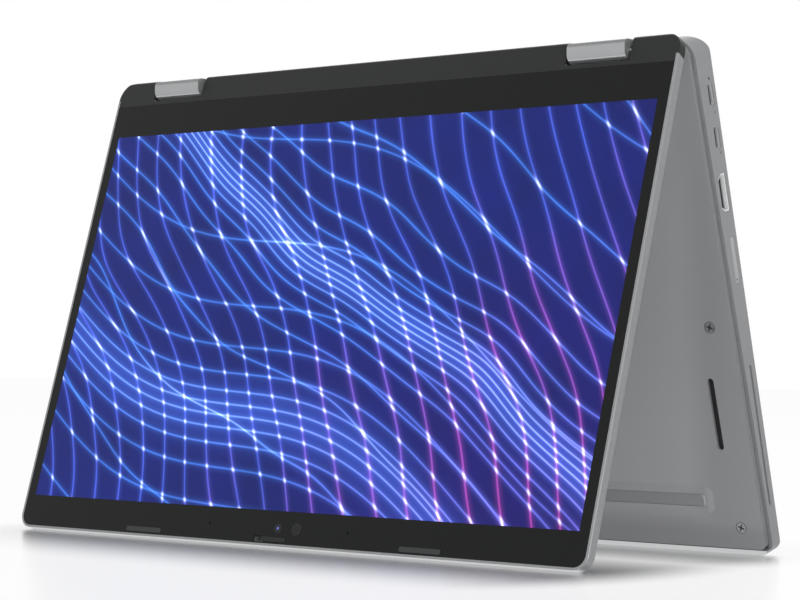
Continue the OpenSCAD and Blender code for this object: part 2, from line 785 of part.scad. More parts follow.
module base_hinge_brackets() {
    color(steel) in_base() both_sides() difference() {
        union() {
            bar_x(knuckle_x0, knuckle_x1, base_knuckle_r);
            block(knuckle_x0, knuckle_x1 + 2.5, nose_y, base_bracket_y, deck_in - bracket_t, deck_in);
            block(knuckle_x0, knuckle_x1, nose_y - 1, nose_y + 1.4, 0, deck_in - 0.4);
        }
        bar_x(knuckle_x0 - 1, knuckle_x1 + 1, base_shaft_r + 0.01);
        for (y = bracket_screw_y) translate([knuckle_x0 + 6, y, 3]) cylinder(r = screw_r + 0.05, h = 6);
    }
}

module hinge_screws() {
    color(steel) in_base() both_sides() for (y = bracket_screw_y) {
        translate([knuckle_x0 + 6, y, 0]) {
            translate([0, 0, deck_in - bracket_t - 0.9]) cylinder(r = 1.9, h = 0.9);
            translate([0, 0, deck_in - bracket_t - 0.1]) cylinder(r = screw_r - 0.03, h = bracket_t + 0.7);
        }
    }
}

// ---------- base housing ----------

boss_r = 2.2;
screw_x = base_half - screw_inset;
rear_screw_x = hinge_x + 3;
rear_screw_y = 12;
cover_screws_at = concat(
    [for (side = [-1, 1], y = [middle_screw_y, base_reach - front_screw_inset]) [side * screw_x, y]],
    [for (side = [-1, 1]) [side * rear_screw_x, rear_screw_y]]
);
speaker_slot_x = base_half - speaker_slot_inset;
front_foot_x = base_half - front_foot_inset;
front_foot_y = base_reach - front_foot_back;
rear_foot_x = notch_in - rear_foot_space;
fan_half = rotor_r + 7;                       // half the width of the fan housing
fan_x = -(notch_in - fan_space - fan_half);
vent_slots = 11;
vent_pitch = 4.2;
type_a_w = 13.2;
type_a_h = 5.1;
memory_card_w = 12.2;
memory_card_h = 1.6;
lock_w = 6.2;
lock_h = 2.4;
status_y = 12.2;
lip_gap = 0.3;
cover_inset = 0.8;                            // step between the port wall and the cover's edge
lip_fit = 0.1;                                // space between the cover's lip and the wall
cover_lip = 0.5;                              // the cover's lip stands behind the wall by this much
pad_run = 2.4;                                // width of the slope round a raised pad

// Moves children from the underside's own plane (outside at z = 0) into the base frame.
module on_underside() {
    translate([0, nose_y, nose_z - nose_r]) rotate([base_slope, 0, 0]) {
        translate([0, -nose_y, 0]) children();
    }
}

// The outside of the closed base: round rear edge, bevelled front and round lower sides.
module base_shape() {
    intersection() {
        along_z(-10, 10) plan_outline(base_half, -base_setback, base_reach, base_rear_r,
            base_front_r);
        along_x(-base_half, base_half) {
            translate([nose_y, nose_z]) circle(nose_r);
            polygon([
                [nose_y, deck_up], [base_reach - deck_c, deck_up],
                [base_reach, deck_up - deck_c], [base_reach, deck_up - front_wall_h],
                [base_reach - front_bevel, deck_up - base_front_t], [nose_y, nose_z - nose_r]
            ]);
        }
        on_underside() along_y(-20, base_reach + 20) {
            for (side = [-1, 1]) {
                translate([side * (base_half - cover_edge_r), cover_edge_r]) circle(cover_edge_r);
            }
            translate([-base_half + cover_edge_r, 0]) {
                square([2 * (base_half - cover_edge_r), 20]);
            }
            translate([-base_half, cover_edge_r]) square([2 * base_half, 20]);
        }
        along_y(-20, base_reach + 20) polygon([
            [-base_half, -20], [base_half, -20], [base_half, deck_up - deck_c],
            [base_half - deck_c, deck_up], [-base_half + deck_c, deck_up],
            [-base_half, deck_up - deck_c]
        ]);
    }
}

// Everything below the seam, lowered by a gap.
module below_seam(gap) {
    translate([0, -base_setback, deck_up - seam_rear - gap]) rotate([seam_slope, 0, 0]) {
        block(-base_half - 1, base_half + 1, -20, base_reach + 40, -30, 0);
    }
}

// The room that a hinge cover swings through, grown by a distance.
module base_notches(extra) {
    both_sides() block(cap_x0 - base_notch_gap - extra, cap_x1 + base_notch_gap + extra,
        -base_setback - 1, cap_swing + notch_gap + extra, -12, 12);
}

module port_cut(y, z, x0, x1) {
    translate([0, y, z]) along_x(x0, x1) children();
}

// Outline of the video port: wide at the top, narrower at the bottom.
module video_outline(grow) {
    w = 7.3 + grow;
    h = 2.5 + grow;
    polygon([[-w, h], [w, h], [w, -h + 2.2], [w - 1.8, -h], [-w + 1.8, -h], [-w, -h + 2.2]]);
}

module side_cuts() {
    out = base_half + 1;
    in = base_half - wall_t - 1;
    for (y = type_c_y) port_cut(y, port_z, in, out) obround(9.2, 3.5);
    port_cut(video_y, tall_port_z, in, out) video_outline(0.15);
    port_cut(sim_y, port_z, in, out) obround(sim_w + 0.3, sim_h + 0.3);
    port_cut(card_y, card_z, in, out) obround(card_w, card_h);
    port_cut(status_y, port_z, in, out) circle(0.55);
    port_cut(type_a_y, tall_port_z, -out, -in) {
        square([type_a_w + 0.3, type_a_h + 0.2], center = true);
    }
    port_cut(memory_card_y, port_z, -out, -in) obround(memory_card_w, memory_card_h);
    port_cut(lock_y, port_z - 0.6, -out, -in) round_rect(lock_w, lock_h, 0.6);
    bar_x(-out, -in, audio_r + 1.2, audio_y, tall_port_z);
}

module keyboard_outline(grow) {
    translate([0, (frame_y0 + frame_y1) / 2]) {
        round_rect(2 * (frame_half + grow), frame_y1 - frame_y0 + 2 * grow, 2);
    }
}

module base_cavity() {
    cavity_half = base_half - wall_t;
    front = base_reach - wall_t;
    difference() {
        intersection() {
            along_x(-cavity_half, cavity_half) {
                translate([nose_y, nose_z]) circle(nose_r - deck_t);
                polygon([
                    [nose_y, deck_in], [front, deck_in],
                    [front, deck_up - front_wall_h + 1.5],
                    [lip_y + lip_gap, deck_up - front_wall_h], [lip_y + lip_gap, -12],
                    [nose_y, -12]
                ]);
            }
            along_z(-12, 12) plan_outline(cavity_half, -base_setback + deck_t, front,
                base_rear_r - wall_t, base_front_r - wall_t);
        }
        base_notches(notch_wall);
    }
}

module palm_rest_frame() {
    color(silver) in_base() difference() {
        union() {
            difference() {
                base_shape();
                // below the seam only the front lip belongs to the frame
                difference() {
                    below_seam(0);
                    block(-base_half - 1, base_half + 1, lip_y + lip_gap, base_reach + 1, -20, 20);
                }
                base_cavity();
                base_notches(0);
            }
            // screw bosses stand on the bottom cover
            difference() {
                for (p = cover_screws_at) translate([p[0], p[1], -8]) {
                    cylinder(r = boss_r, h = deck_in + 8.2);
                }
                on_underside() block(-base_half, base_half, -20, base_reach + 20, -9, cover_t);
            }
        }
        along_z(0, 10) keyboard_outline(frame_fit);
        translate([0, touchpad_y + touchpad_l / 2, 0]) along_z(0, 10) {
            round_rect(touchpad_w + 2 * touchpad_gap, touchpad_l + 2 * touchpad_gap, 1.5);
        }
        side_cuts();
        // shafts pass through the notch walls
        both_sides() bar_x(cap_x1, knuckle_x0, base_shaft_r + 0.3);
        // threads of the cover screws and of the bracket screws
        on_underside() for (p = cover_screws_at) translate([p[0], p[1], -2]) {
            cylinder(r = screw_r, h = 9);
        }
        both_sides() for (y = bracket_screw_y) translate([knuckle_x0 + 6, y, deck_in - 1]) {
            cylinder(r = screw_r, h = 1.75);
        }
        // rear vent slots
        for (i = [0:vent_slots - 1]) {
            x = fan_x + (i - (vent_slots - 1) / 2) * vent_pitch;
            block(x - 1.2, x + 1.2, -base_setback - 1, nose_y - 0.5, -2.6, 1.6);
        }
    }
}

// A low pad with sloping sides, its top as large as the foot on it and a small margin.
module raised_pad(half, y, w, h, run) {
    margin = 0.8;
    corner_r = 1.6;
    sunk = 0.3;
    slope = run / h;
    x = half + margin - corner_r;
    dy = w / 2 + margin - corner_r;
    r_low = corner_r + slope * (h + sunk);
    module wedge(reach) {
        polygon([
            [-reach - corner_r, -h], [reach + corner_r, -h], [reach + r_low, sunk],
            [-reach - r_low, sunk]
        ]);
    }
    translate([0, y, 0]) {
        for (sx = [-1, 1], sy = [-1, 1]) translate([sx * x, sy * dy, -h]) {
            cylinder(r1 = corner_r, r2 = r_low, h = h + sunk);
        }
        along_y(-dy, dy) wedge(x);
        along_x(-x, x) wedge(dy);
    }
}

module bottom_cover() {
    inner_half = base_half - 3.0;
    seat_d = 0.7;
    color([0.50, 0.51, 0.515]) in_base() difference() {
        union() {
            intersection() {
                base_shape();
                below_seam(seam_gap);
                along_z(-12, 12) plan_outline(base_half - cover_inset, -base_setback, lip_y,
                    base_rear_r - cover_inset, base_front_r - 3);
            }
            // the lip that closes the groove from inside
            intersection() {
                base_shape();
                base_cavity();
                below_seam(-cover_lip);
                along_z(-12, 12) plan_outline(base_half - wall_t - lip_fit, nose_y, lip_y,
                    base_rear_r - wall_t, base_front_r - 3);
            }
            on_underside() {
                raised_pad(front_foot_x, front_foot_y, front_foot_w, front_pad_h, pad_run);
                raised_pad(rear_foot_x, rear_foot_y, rear_foot_w, rear_pad_h, pad_run / 2);
            }
        }
        // the tray inside
        intersection() {
            on_underside() block(-inner_half, inner_half, -30, base_reach, cover_t, 30);
            along_z(-12, 12) plan_outline(inner_half, nose_y - 2.0, lip_y - 1.2,
                base_rear_r - 3, base_front_r - 4.5);
        }
        base_notches(0);
        on_underside() {
            for (p = cover_screws_at) translate([p[0], p[1], 0]) {
                translate([0, 0, -1]) cylinder(r = screw_head_r + 0.3, h = 1 + seat_d);
                cylinder(r = screw_r + 0.15, h = 4);
            }
            for (side = [-1, 1]) translate([side * speaker_slot_x, speaker_slot_y, -1]) {
                rotate(90) linear_extrude(4) obround(speaker_slot_l, speaker_slot_w);
            }
            intake_slots();
        }
    }
}

rear_foot_w = 4.4;
intake_rows = 5;
intake_columns = 7;
intake_pitch_x = 6.6;
intake_pitch_y = 7.2;

// Intake slots under the fan, in rows.
module intake_slots() {
    for (row = [0:intake_rows - 1], column = [0:intake_columns - 1]) {
        translate([fan_x + (column - (intake_columns - 1) / 2) * intake_pitch_x,
            fan_y + (row - (intake_rows - 1) / 2) * intake_pitch_y, -1]) {
            linear_extrude(4) obround(4.6, 1.7);
        }
    }
}

module front_foot() {
    color([0.42, 0.43, 0.43]) in_base() on_underside() {
        translate([0, front_foot_y, 0]) {
            edged_plate(front_foot_x, -front_foot_w / 2, front_foot_w / 2, 1.6, 1.6,
                -front_pad_h - front_foot_h, -front_pad_h, 0.5, 0);
        }
    }
}

module rear_foot() {
    color([0.42, 0.43, 0.43]) in_base() on_underside() {
        translate([0, rear_foot_y, 0]) {
            edged_plate(rear_foot_x, -rear_foot_w / 2, rear_foot_w / 2, 1.6, 1.6,
                -rear_pad_h - rear_foot_h, -rear_pad_h, 0.25, 0);
        }
    }
}

module cover_screws() {
    head_h = 0.65;
    color(steel) in_base() on_underside() for (p = cover_screws_at) {
        translate([p[0], p[1], 0]) difference() {
            union() {
                translate([0, 0, 0.7 - head_h]) cylinder(r = screw_head_r, h = head_h);
                translate([0, 0, 0.6]) cylinder(r = screw_r - 0.02, h = 6);
            }
            // cross recess
            for (a = [20, 110]) rotate(a) block(-1.45, 1.45, -0.32, 0.32, -1, 0.5);
        }
    }
}

// ---------- keyboard ----------

function sum_to(v, n) = n <= 0 ? 0 : v[n - 1] + sum_to(v, n - 1);

// Centres and widths of a row of keys that starts a number of units from the user's left.
function row_keys(units, start) = [
    for (i = [0:len(units) - 1]) [
        (7.5 - start - sum_to(units, i) - units[i] / 2) * key_pitch,
        units[i] * key_pitch - key_gap
    ]
];

full_l = row_pitch - key_gap;
half_gap = 1.0;                               // gap between two half-height keys
half_l = (full_l - half_gap) / 2;
function_l = function_pitch - key_gap + 0.6;
function_mid = keyboard_y + function_pitch / 2;
function row_mid(i) = rows_y[i] + row_pitch / 2;

function_row = row_keys(function_units, 0);
power_keys = row_keys([1], 14);
number_row = row_keys(number_units, 0);
upper_row = row_keys(upper_units, 0);
home_row = row_keys(home_units, 0);
enter_keys = row_keys([2.25], 12.75);
lower_row = row_keys(lower_units, 2.25);
shifts = concat(row_keys([2.25], 0), row_keys([2.75], 12.25));
modifiers = concat(row_keys(modifier_units, 0), row_keys([1, 1, 1], 9));
space_keys = row_keys([5], 4);
arrow_columns = row_keys([1, 1, 1], 12);

// Every key window: [x, y, width, length]
windows = concat(
    [for (k = concat(function_row, power_keys)) [k[0], function_mid, k[1], function_l]],
    [for (k = number_row) [k[0], row_mid(0), k[1], full_l]],
    [for (k = upper_row) [k[0], row_mid(1), k[1], full_l]],
    [for (k = concat(home_row, enter_keys)) [k[0], row_mid(2), k[1], full_l]],
    [for (k = concat(lower_row, shifts)) [k[0], row_mid(3), k[1], full_l]],
    [for (k = concat(modifiers, space_keys, arrow_columns)) [k[0], row_mid(4), k[1], full_l]]
);

// Points of a rectangle with round corners, three steps to each corner.
function round_points(x, y, w, l, r) = [
    for (c = [[1, 1, 0], [-1, 1, 90], [-1, -1, 180], [1, -1, 270]], step = [0:3])
        [x + c[0] * (w / 2 - r) + r * cos(c[2] + 30 * step),
         y + c[1] * (l / 2 - r) + r * sin(c[2] + 30 * step)]
];

// A row of keycaps with bevelled edges: three extrusions that meet.
module keycaps(keys, y, l) {
    bevel = 0.35;
    low = key_top - key_t;
    intersection() {
        along_z(low, key_top) for (k = keys) polygon(round_points(k[0], y, k[1], l, key_r));
        along_y(y - l, y + l) for (k = keys) {
            polygon([
                [k[0] - k[1] / 2, low], [k[0] + k[1] / 2, low],
                [k[0] + k[1] / 2, key_top - bevel], [k[0] + k[1] / 2 - bevel, key_top],
                [k[0] - k[1] / 2 + bevel, key_top], [k[0] - k[1] / 2, key_top - bevel]
            ]);
        }
        along_x(-base_half, base_half) polygon([
            [y - l / 2, low], [y + l / 2, low], [y + l / 2, key_top - bevel],
            [y + l / 2 - bevel, key_top], [y - l / 2 + bevel, key_top], [y - l / 2, key_top - bevel]
        ]);
    }
}

key_black = [0.09, 0.09, 0.10];

module function_keys() { color(key_black) in_base() keycaps(function_row, function_mid, function_l); }
module number_keys() { color(key_black) in_base() keycaps(number_row, row_mid(0), full_l); }
module upper_letter_keys() { color(key_black) in_base() keycaps(upper_row, row_mid(1), full_l); }
module home_letter_keys() { color(key_black) in_base() keycaps(home_row, row_mid(2), full_l); }
module lower_letter_keys() { color(key_black) in_base() keycaps(lower_row, row_mid(3), full_l); }
module modifier_keys() { color(key_black) in_base() keycaps(modifiers, row_mid(4), full_l); }
module space_bar() { color(key_black) in_base() keycaps(space_keys, row_mid(4), full_l); }
module enter_key() { color(key_black) in_base() keycaps(enter_keys, row_mid(2), full_l); }
module shift_keys() { color(key_black) in_base() keycaps(shifts, row_mid(3), full_l); }
module power_button() { color(key_black) in_base() keycaps(power_keys, function_mid, function_l); }

module arrow_keys() {
    color(key_black) in_base() for (side = [-1, 1]) {
        keycaps(arrow_columns, row_mid(4) + side * (half_l + half_gap) / 2, half_l);
    }
}

module keyboard_frame() {
    color([0.11, 0.11, 0.12]) in_base() {
        difference() {
            union() {
                along_z(key_top - frame_t, key_top - 0.1) keyboard_outline(0);
                along_z(plate_top, deck_in - 0.05) keyboard_outline(flange);
            }
            along_z(plate_top - 1, key_top - frame_t - 0.4) keyboard_outline(flange - 0.8);
            along_z(plate_top - 1, 10) for (k = windows) {
                polygon(round_points(k[0], k[1], k[2] + 2 * key_window_gap,
                    k[3] + 2 * key_window_gap, key_r + key_window_gap));
            }
        }
    }
}

module keyboard_plate() {
    color(steel) in_base() along_z(plate_top - plate_t, plate_top) keyboard_outline(flange);
}

module membrane_sheet() {
    color([0.16, 0.17, 0.18]) in_base() {
        along_z(plate_top, plate_top + membrane_t) keyboard_outline(flange - 1.1);
        along_z(plate_top, plate_top + membrane_t + dome_h) {
            for (k = windows) translate([k[0], k[1]]) circle(2.2);
        }
    }
}

// ---------- touchpad ----------

touchpad_top = deck_up - 0.1;
touchpad_frame_t = 0.5;

module touchpad() {
    color([0.60, 0.61, 0.62]) in_base() translate([0, touchpad_y + touchpad_l / 2, 0]) {
        along_z(touchpad_top - touchpad_t, touchpad_top) round_rect(touchpad_w, touchpad_l, 1.2);
    }
}

module touchpad_frame() {
    back = touchpad_y - 1.5;
    low = touchpad_top - touchpad_t;
    plate_low = low - 0.6 - touchpad_frame_t;
    front = touchpad_y + touchpad_l + 2;
    color(steel) in_base() difference() {
        union() {
            block(-touchpad_w / 2 - 3, touchpad_w / 2 + 3, back, front, plate_low,
                plate_low + touchpad_frame_t);
            // leaf that the pad hinges on
            block(-touchpad_w / 2 + 6, touchpad_w / 2 - 6, touchpad_y + 0.3, touchpad_y + 2.0,
                plate_low, low - 0.03);
            // ears up to the deck
            for (side = [-1, 1]) translate([side * (touchpad_w / 2 + 2.2), 0, 0]) {
                block(-0.8, 0.8, back, front, plate_low, deck_in);
            }
        }
        for (side = [-1, 1]) translate([side * touchpad_w / 4, touchpad_y + touchpad_l / 2, 0]) {
            along_z(0, 10) round_rect(touchpad_w / 2 - 14, touchpad_l - 22, 3);
        }
    }
}

// ---------- inside the base ----------

board_gap = 0.5;
board_front = 90;
sim_depth = 11.65;
cpu_x = -10;
cpu_y = 52;
copper_t = 1.0;
chip_t = 1.4;
pipe_t = 2.0;
pipe_w = 8;
pipe_bend = 14;
pipe_y = 12;
board_edge = base_half - wall_t - 1.6;
fan_low = -3.7;
fan_high = 1.7;

module mainboard() {
    left = -board_edge;
    wing = fan_x - fan_half - 2;
    inner = fan_x + fan_half + 4;
    notch = notch_in - 2.7;
    port_notch = port_x - 11.4;
    front = board_front;
    color(board_green) in_base() {
        difference() {
            along_z(board_z, board_z + board_t) difference() {
                polygon([
                    [inner, 7], [notch, 7], [notch, 9], [board_edge, 9], [board_edge, front + 3],
                    [board_edge - 30, front + 3], [board_edge - 30, front], [left, front],
                    [left, 24], [wing, 24],
                    [wing, fan_y + fan_half + 2], [inner, fan_y + fan_half + 2]
                ]);
                translate([rear_screw_x, rear_screw_y]) circle(boss_r + board_gap);
                // notches for the ports that sit in the board
                translate([port_notch, video_y - 7.8]) square([12, 15.6]);
                translate([left - 1, type_a_y - type_a_w / 2 - 0.2]) {
                    square([board_edge - port_notch + 3, type_a_w + 0.4]);
                }
                translate([left - 1, audio_y - 3.3]) square([board_edge - port_notch + 3, 6.6]);
            }
        }
        sim_cage();
        // power parts and memory on the upper face
        for (i = [0:3]) translate([20 + 16 * i, 66, board_z + board_t]) cube([11, 12, 0.8]);
        for (i = [0:5]) translate([14 + 8 * i, 12, board_z - 1.6]) cube([5, 5, 1.6]);
    }
}

module sim_cage() {
    low = board_z + board_t;
    inner = base_half - sim_depth - 0.9;
    difference() {
        block(inner, base_half - wall_t - 0.3, sim_y - 9, sim_y + 9, low, port_z + 1.4);
        block(inner + 0.6, base_half, sim_y - 7.8, sim_y + 7.8, port_z - 0.7, port_z + 0.7);
    }
}

module processor() {
    color([0.30, 0.32, 0.34]) in_base() {
        block(cpu_x - 13, cpu_x + 13, cpu_y - 9, cpu_y + 9, board_z - 0.6, board_z);
        block(cpu_x - 7, cpu_x + 5, cpu_y - 5, cpu_y + 5, board_z - chip_t, board_z - 0.5);
    }
}

module heat_pipe() {
    top = board_z - chip_t - copper_t;
    low = top - pipe_t;
    turn_x = cpu_x - pipe_bend;
    color([0.72, 0.42, 0.26]) in_base() {
        along_z(low, top) {
            translate([fan_x - fan_half + 3, pipe_y - pipe_w / 2]) {
                square([turn_x - (fan_x - fan_half + 3), pipe_w]);
            }
            intersection() {
                translate([turn_x, pipe_y + pipe_bend]) difference() {
                    circle(pipe_bend + pipe_w / 2);
                    circle(pipe_bend - pipe_w / 2);
                }
                translate([turn_x, pipe_y - pipe_w]) square([40, pipe_bend + pipe_w]);
            }
            translate([cpu_x - pipe_w / 2, pipe_y + pipe_bend]) {
                square([pipe_w, cpu_y + 9 - pipe_y - pipe_bend]);
            }
        }
        block(cpu_x - 12, cpu_x + 12, cpu_y - 8, cpu_y + 8, top - 0.01, top + copper_t);
    }
}

module cooling_fins() {
    low = board_z - chip_t - copper_t;
    count = 30;
    step = (2 * fan_half - 8) / (count - 1);
    color([0.75, 0.68, 0.6]) in_base() {
        for (i = [0:count - 1]) {
            x = fan_x - fan_half + 4 + i * step;
            block(x - 0.15, x + 0.15, 6.8, fan_y - fan_half - 0.2, low, 2.3);
        }
        block(fan_x - fan_half + 3.6, fan_x + fan_half - 3.6, 6.8, fan_y - fan_half - 0.2,
            low, low + 0.3);
    }
}

module fan_housing() {
    wall = 0.8;
    intake_r = 14;
    color([0.13, 0.13, 0.14]) in_base() difference() {
        union() {
            difference() {
                block(fan_x - fan_half, fan_x + fan_half, fan_y - fan_half, fan_y + fan_half,
                    fan_low, fan_high);
                // round chamber, open to the fins
                translate([fan_x, fan_y, 0]) along_z(fan_low + 0.5, fan_high - 0.5) {
                    circle(rotor_r + 4);
                    translate([-fan_half + wall, -fan_half - 1]) {
                        square([2 * (fan_half - wall), fan_half - 8]);
                    }
                }
                translate([fan_x, fan_y, fan_low - 1]) cylinder(r = intake_r, h = 1.6);
            }
            // bearing seat on three arms across the intake
            translate([fan_x, fan_y, 0]) {
                along_z(fan_low, fan_low + 0.5) {
                    circle(5);
                    for (a = [0, 120, 240]) rotate(a) translate([0, -1.5]) square([intake_r + 1, 3]);
                }
                translate([0, 0, fan_low]) cylinder(r = 2.2, h = 2.6);
            }
        }
        translate([fan_x, fan_y, fan_low + 0.6]) cylinder(r = 1 + run_gap, h = 4);
    }
}

module fan_rotor() {
    hub_r = 8;
    low = fan_low + 1.0;
    high = fan_high - 0.9;
    color([0.16, 0.16, 0.17]) in_base() translate([fan_x, fan_y, 0]) {
        difference() {
            along_z(low, high) {
                circle(hub_r);
                for (i = [0:fan_blades - 1]) rotate(i * 360 / fan_blades) {
                    translate([hub_r - 0.5, 0]) rotate(28) square([rotor_r - hub_r - 0.6, 0.6]);
                }
            }
            translate([0, 0, low - 1]) cylinder(r = hub_r - 1, h = high - low + 0.4);
        }
        translate([0, 0, fan_low + 0.7]) cylinder(r = 1, h = high - fan_low - 1.0);
    }
}

battery_half = base_half - 47.85;

module battery_pack() {
    cells = 3;
    half = battery_half;
    y0 = board_front + 6;
    y1 = lip_y - 11.6;
    low = cover_t + 0.45;
    thickness = 3.6;
    color([0.10, 0.10, 0.11]) in_base() on_underside() {
        difference() {
            block(-half, half, y0, y1, low, low + thickness);
            for (i = [1:cells - 1]) {
                x = -half + i * 2 * half / cells;
                block(x - 1, x + 1, y0 + 4, y1 + 1, low - 1, low + 0.8);
            }
        }
        block(-30, 30, y0 - 3, y0, low + 1, low + 2.5);
    }
}

// A plug-in card on the board's lower face: socket, card and chips.
module plug_in_card(x, y, len, w) {
    block(x, x + 6, y, y + w, board_z - 1.8, board_z);
    block(x + 4, x + len, y, y + w, board_z - 1.6, board_z - 0.8);
    for (i = [0:1]) {
        block(x + len * (0.25 + 0.35 * i), x + len * (0.5 + 0.35 * i), y + 3, y + w - 3,
            board_z - 2.5, board_z - 1.5);
    }
}

card_strip_w = 22;

module solid_state_drive() {
    color([0.08, 0.16, 0.12]) in_base() plug_in_card(30, board_front - 24, 80, card_strip_w);
}

module wireless_card() {
    color([0.20, 0.22, 0.24]) in_base() plug_in_card(84, board_front - 58, 30, card_strip_w);
}

module speakers() {
    low = cover_t + 0.4;
    thickness = 3.8;
    half_l = 25;
    color([0.07, 0.07, 0.08]) in_base() on_underside() both_sides() difference() {
        block(battery_half + 9, base_half - 4, speaker_slot_y - half_l, speaker_slot_y + half_l,
            low, low + thickness);
        translate([speaker_slot_x - 12, speaker_slot_y, low - 1]) cylinder(r = 7, h = 1.6);
    }
}

// ---------- ports ----------

module type_c_ports() {
    depth = 7.5;
    color([0.62, 0.63, 0.64]) in_base() for (y = type_c_y) {
        difference() {
            port_cut(y, port_z, port_x - depth, port_x) obround(9.0, 3.2);
            port_cut(y, port_z, port_x - depth + 1, port_x + 1) obround(8.4, 2.6);
        }
        port_cut(y, port_z, port_x - depth + 0.5, port_x - 0.8) square([6.7, 0.7], center = true);
    }
}

module video_port() {
    depth = 10.9;
    color([0.85, 0.86, 0.87]) in_base() {
        difference() {
            port_cut(video_y, tall_port_z, port_x - depth, port_x) video_outline(0);
            port_cut(video_y, tall_port_z, port_x - depth + 1, port_x + 1) video_outline(-0.35);
        }
        port_cut(video_y, tall_port_z - 0.4, port_x - depth + 0.5, port_x - 1.2) {
            square([10.4, 1.2], center = true);
        }
    }
}

module type_a_port() {
    depth = 11.9;
    color([0.62, 0.63, 0.64]) in_base() mirror([1, 0, 0]) {
        difference() {
            port_cut(type_a_y, tall_port_z, port_x - depth, port_x) {
                square([type_a_w, type_a_h], center = true);
            }
            port_cut(type_a_y, tall_port_z, port_x - depth + 1, port_x + 1) {
                square([type_a_w - 0.7, type_a_h - 0.7], center = true);
            }
        }
        port_cut(type_a_y, tall_port_z + 0.9, port_x - depth + 0.5, port_x - 0.8) {
            square([11.1, 1.6], center = true);
        }
    }
}

module audio_jack() {
    depth = 11.9;
    color([0.09, 0.09, 0.10]) in_base() difference() {
        union() {
            block(-port_x + 2, -port_x + depth, audio_y - 3, audio_y + 3, tall_port_z - 2.5,
                tall_port_z + 2.5);
            bar_x(-port_x, -port_x + 2.05, audio_r + 1.0, audio_y, tall_port_z);
        }
        bar_x(-port_x - 1, -port_x + depth - 0.6, audio_r, audio_y, tall_port_z);
    }
}

module memory_card_reader() {
    depth = 11.4;
    color([0.62, 0.63, 0.64]) in_base() mirror([1, 0, 0]) difference() {
        block(port_x - depth, base_half - wall_t - 0.1, memory_card_y - 7, memory_card_y + 7,
            board_z + board_t, port_z + 1.3);
        block(port_x - depth + 1, base_half, memory_card_y - 5.6, memory_card_y + 5.6,
            port_z - 0.5, port_z + 0.5);
    }
}

module sim_tray() {
    face_x = base_half - 1.4;
    color([0.60, 0.61, 0.62]) in_base() difference() {
        union() {
            port_cut(sim_y, port_z, face_x, base_half - 0.03) obround(sim_w, sim_h);
            block(base_half - sim_depth, face_x + 0.1, sim_y - 7.4, sim_y + 7.4, port_z - 0.4,
                port_z + 0.4);
        }
        block(base_half - sim_depth + 1, face_x - 1.0, sim_y - 6.2, sim_y + 6.2, port_z - 0.1,
            port_z + 1);
        bar_x(face_x - 1, base_half + 1, 0.5, sim_y + sim_w / 2 - 1.5, port_z);
    }
}

module smart_card_reader() {
    inner = base_half - 60.85;
    color([0.40, 0.41, 0.42]) in_base() difference() {
        block(inner, base_half - wall_t - 0.2, card_y - 27.8, card_y + 27.8, card_z - 0.95,
            card_z + 1.0);
        block(inner + 3, base_half, card_y - 27.1, card_y + 27.1, card_z - 0.55, card_z + 0.55);
        // window in the reader's upper plate
        block(inner + 12, inner + 44, card_y - 18, card_y + 18, card_z, card_z + 2);
    }
}

lid_back_cover();
display_panel();
cover_glass();
hinge_strip();
camera_module();
camera_windows();
camera_shutter();
lid_bumpers();
lid_hinge_brackets();
display_cable();
antennas();
hinge_covers();
hinge_carriers();
friction_sleeves();
idler_gears_base_side();
idler_gears_lid_side();
base_hinge_shafts();
lid_hinge_shafts();
base_shaft_gears();
lid_shaft_gears();
base_hinge_brackets();
hinge_screws();
palm_rest_frame();
bottom_cover();
keyboard_frame();
keyboard_plate();
membrane_sheet();
function_keys();
number_keys();
upper_letter_keys();
home_letter_keys();
lower_letter_keys();
modifier_keys();
arrow_keys();
space_bar();
enter_key();
shift_keys();
power_button();
touchpad();
touchpad_frame();
front_foot();
rear_foot();
cover_screws();
mainboard();
processor();
heat_pipe();
cooling_fins();
fan_housing();
fan_rotor();
battery_pack();
solid_state_drive();
wireless_card();
speakers();
type_c_ports();
video_port();
type_a_port();
audio_jack();
memory_card_reader();
sim_tray();
smart_card_reader();
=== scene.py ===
# %% [markdown]
# # A two-in-one laptop, folded into a tent
# The construction model already holds every solid: shells, hinges, keys, ports and the parts
# inside. This lesson dresses it. Nothing that came from the construction model is moved or
# reshaped; it gets finishes, and the small things that are only skin deep are added on top.

# %% Load the construction model
import json
import math

import bpy
from mathutils import Matrix, Vector


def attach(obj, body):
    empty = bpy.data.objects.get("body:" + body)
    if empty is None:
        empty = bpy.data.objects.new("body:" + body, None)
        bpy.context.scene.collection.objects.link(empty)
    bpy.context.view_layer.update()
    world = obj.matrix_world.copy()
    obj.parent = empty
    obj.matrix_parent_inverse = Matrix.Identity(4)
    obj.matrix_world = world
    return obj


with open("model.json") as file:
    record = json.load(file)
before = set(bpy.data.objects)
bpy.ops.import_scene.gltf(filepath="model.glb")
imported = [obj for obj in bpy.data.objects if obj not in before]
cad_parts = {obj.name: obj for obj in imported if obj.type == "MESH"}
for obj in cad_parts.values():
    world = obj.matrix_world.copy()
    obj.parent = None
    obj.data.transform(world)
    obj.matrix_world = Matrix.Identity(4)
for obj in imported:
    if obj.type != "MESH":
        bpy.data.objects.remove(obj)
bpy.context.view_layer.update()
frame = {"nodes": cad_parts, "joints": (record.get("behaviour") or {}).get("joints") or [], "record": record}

nodes = frame["nodes"]
joints = {joint["name"]: joint for joint in frame["joints"]}
print("pieces in the construction model:", len(nodes))

# %% [markdown]
# ## Where things are
# The lid and the base each have a plane of their own, and each leans away from the upright by an
# angle of its own. It is far easier to place a key legend or a picture in the plane of its part
# than in the room, so each part gets a matrix. Sizes on the part are then plain millimetres: x
# along the hinge, y away from the hinge, z out of the lid's back or out of the keyboard.

# %% Planes of the lid and the base
MM = 0.001
LID_LEAN = math.radians(16.138)
BASE_LEAN = math.radians(15.562)


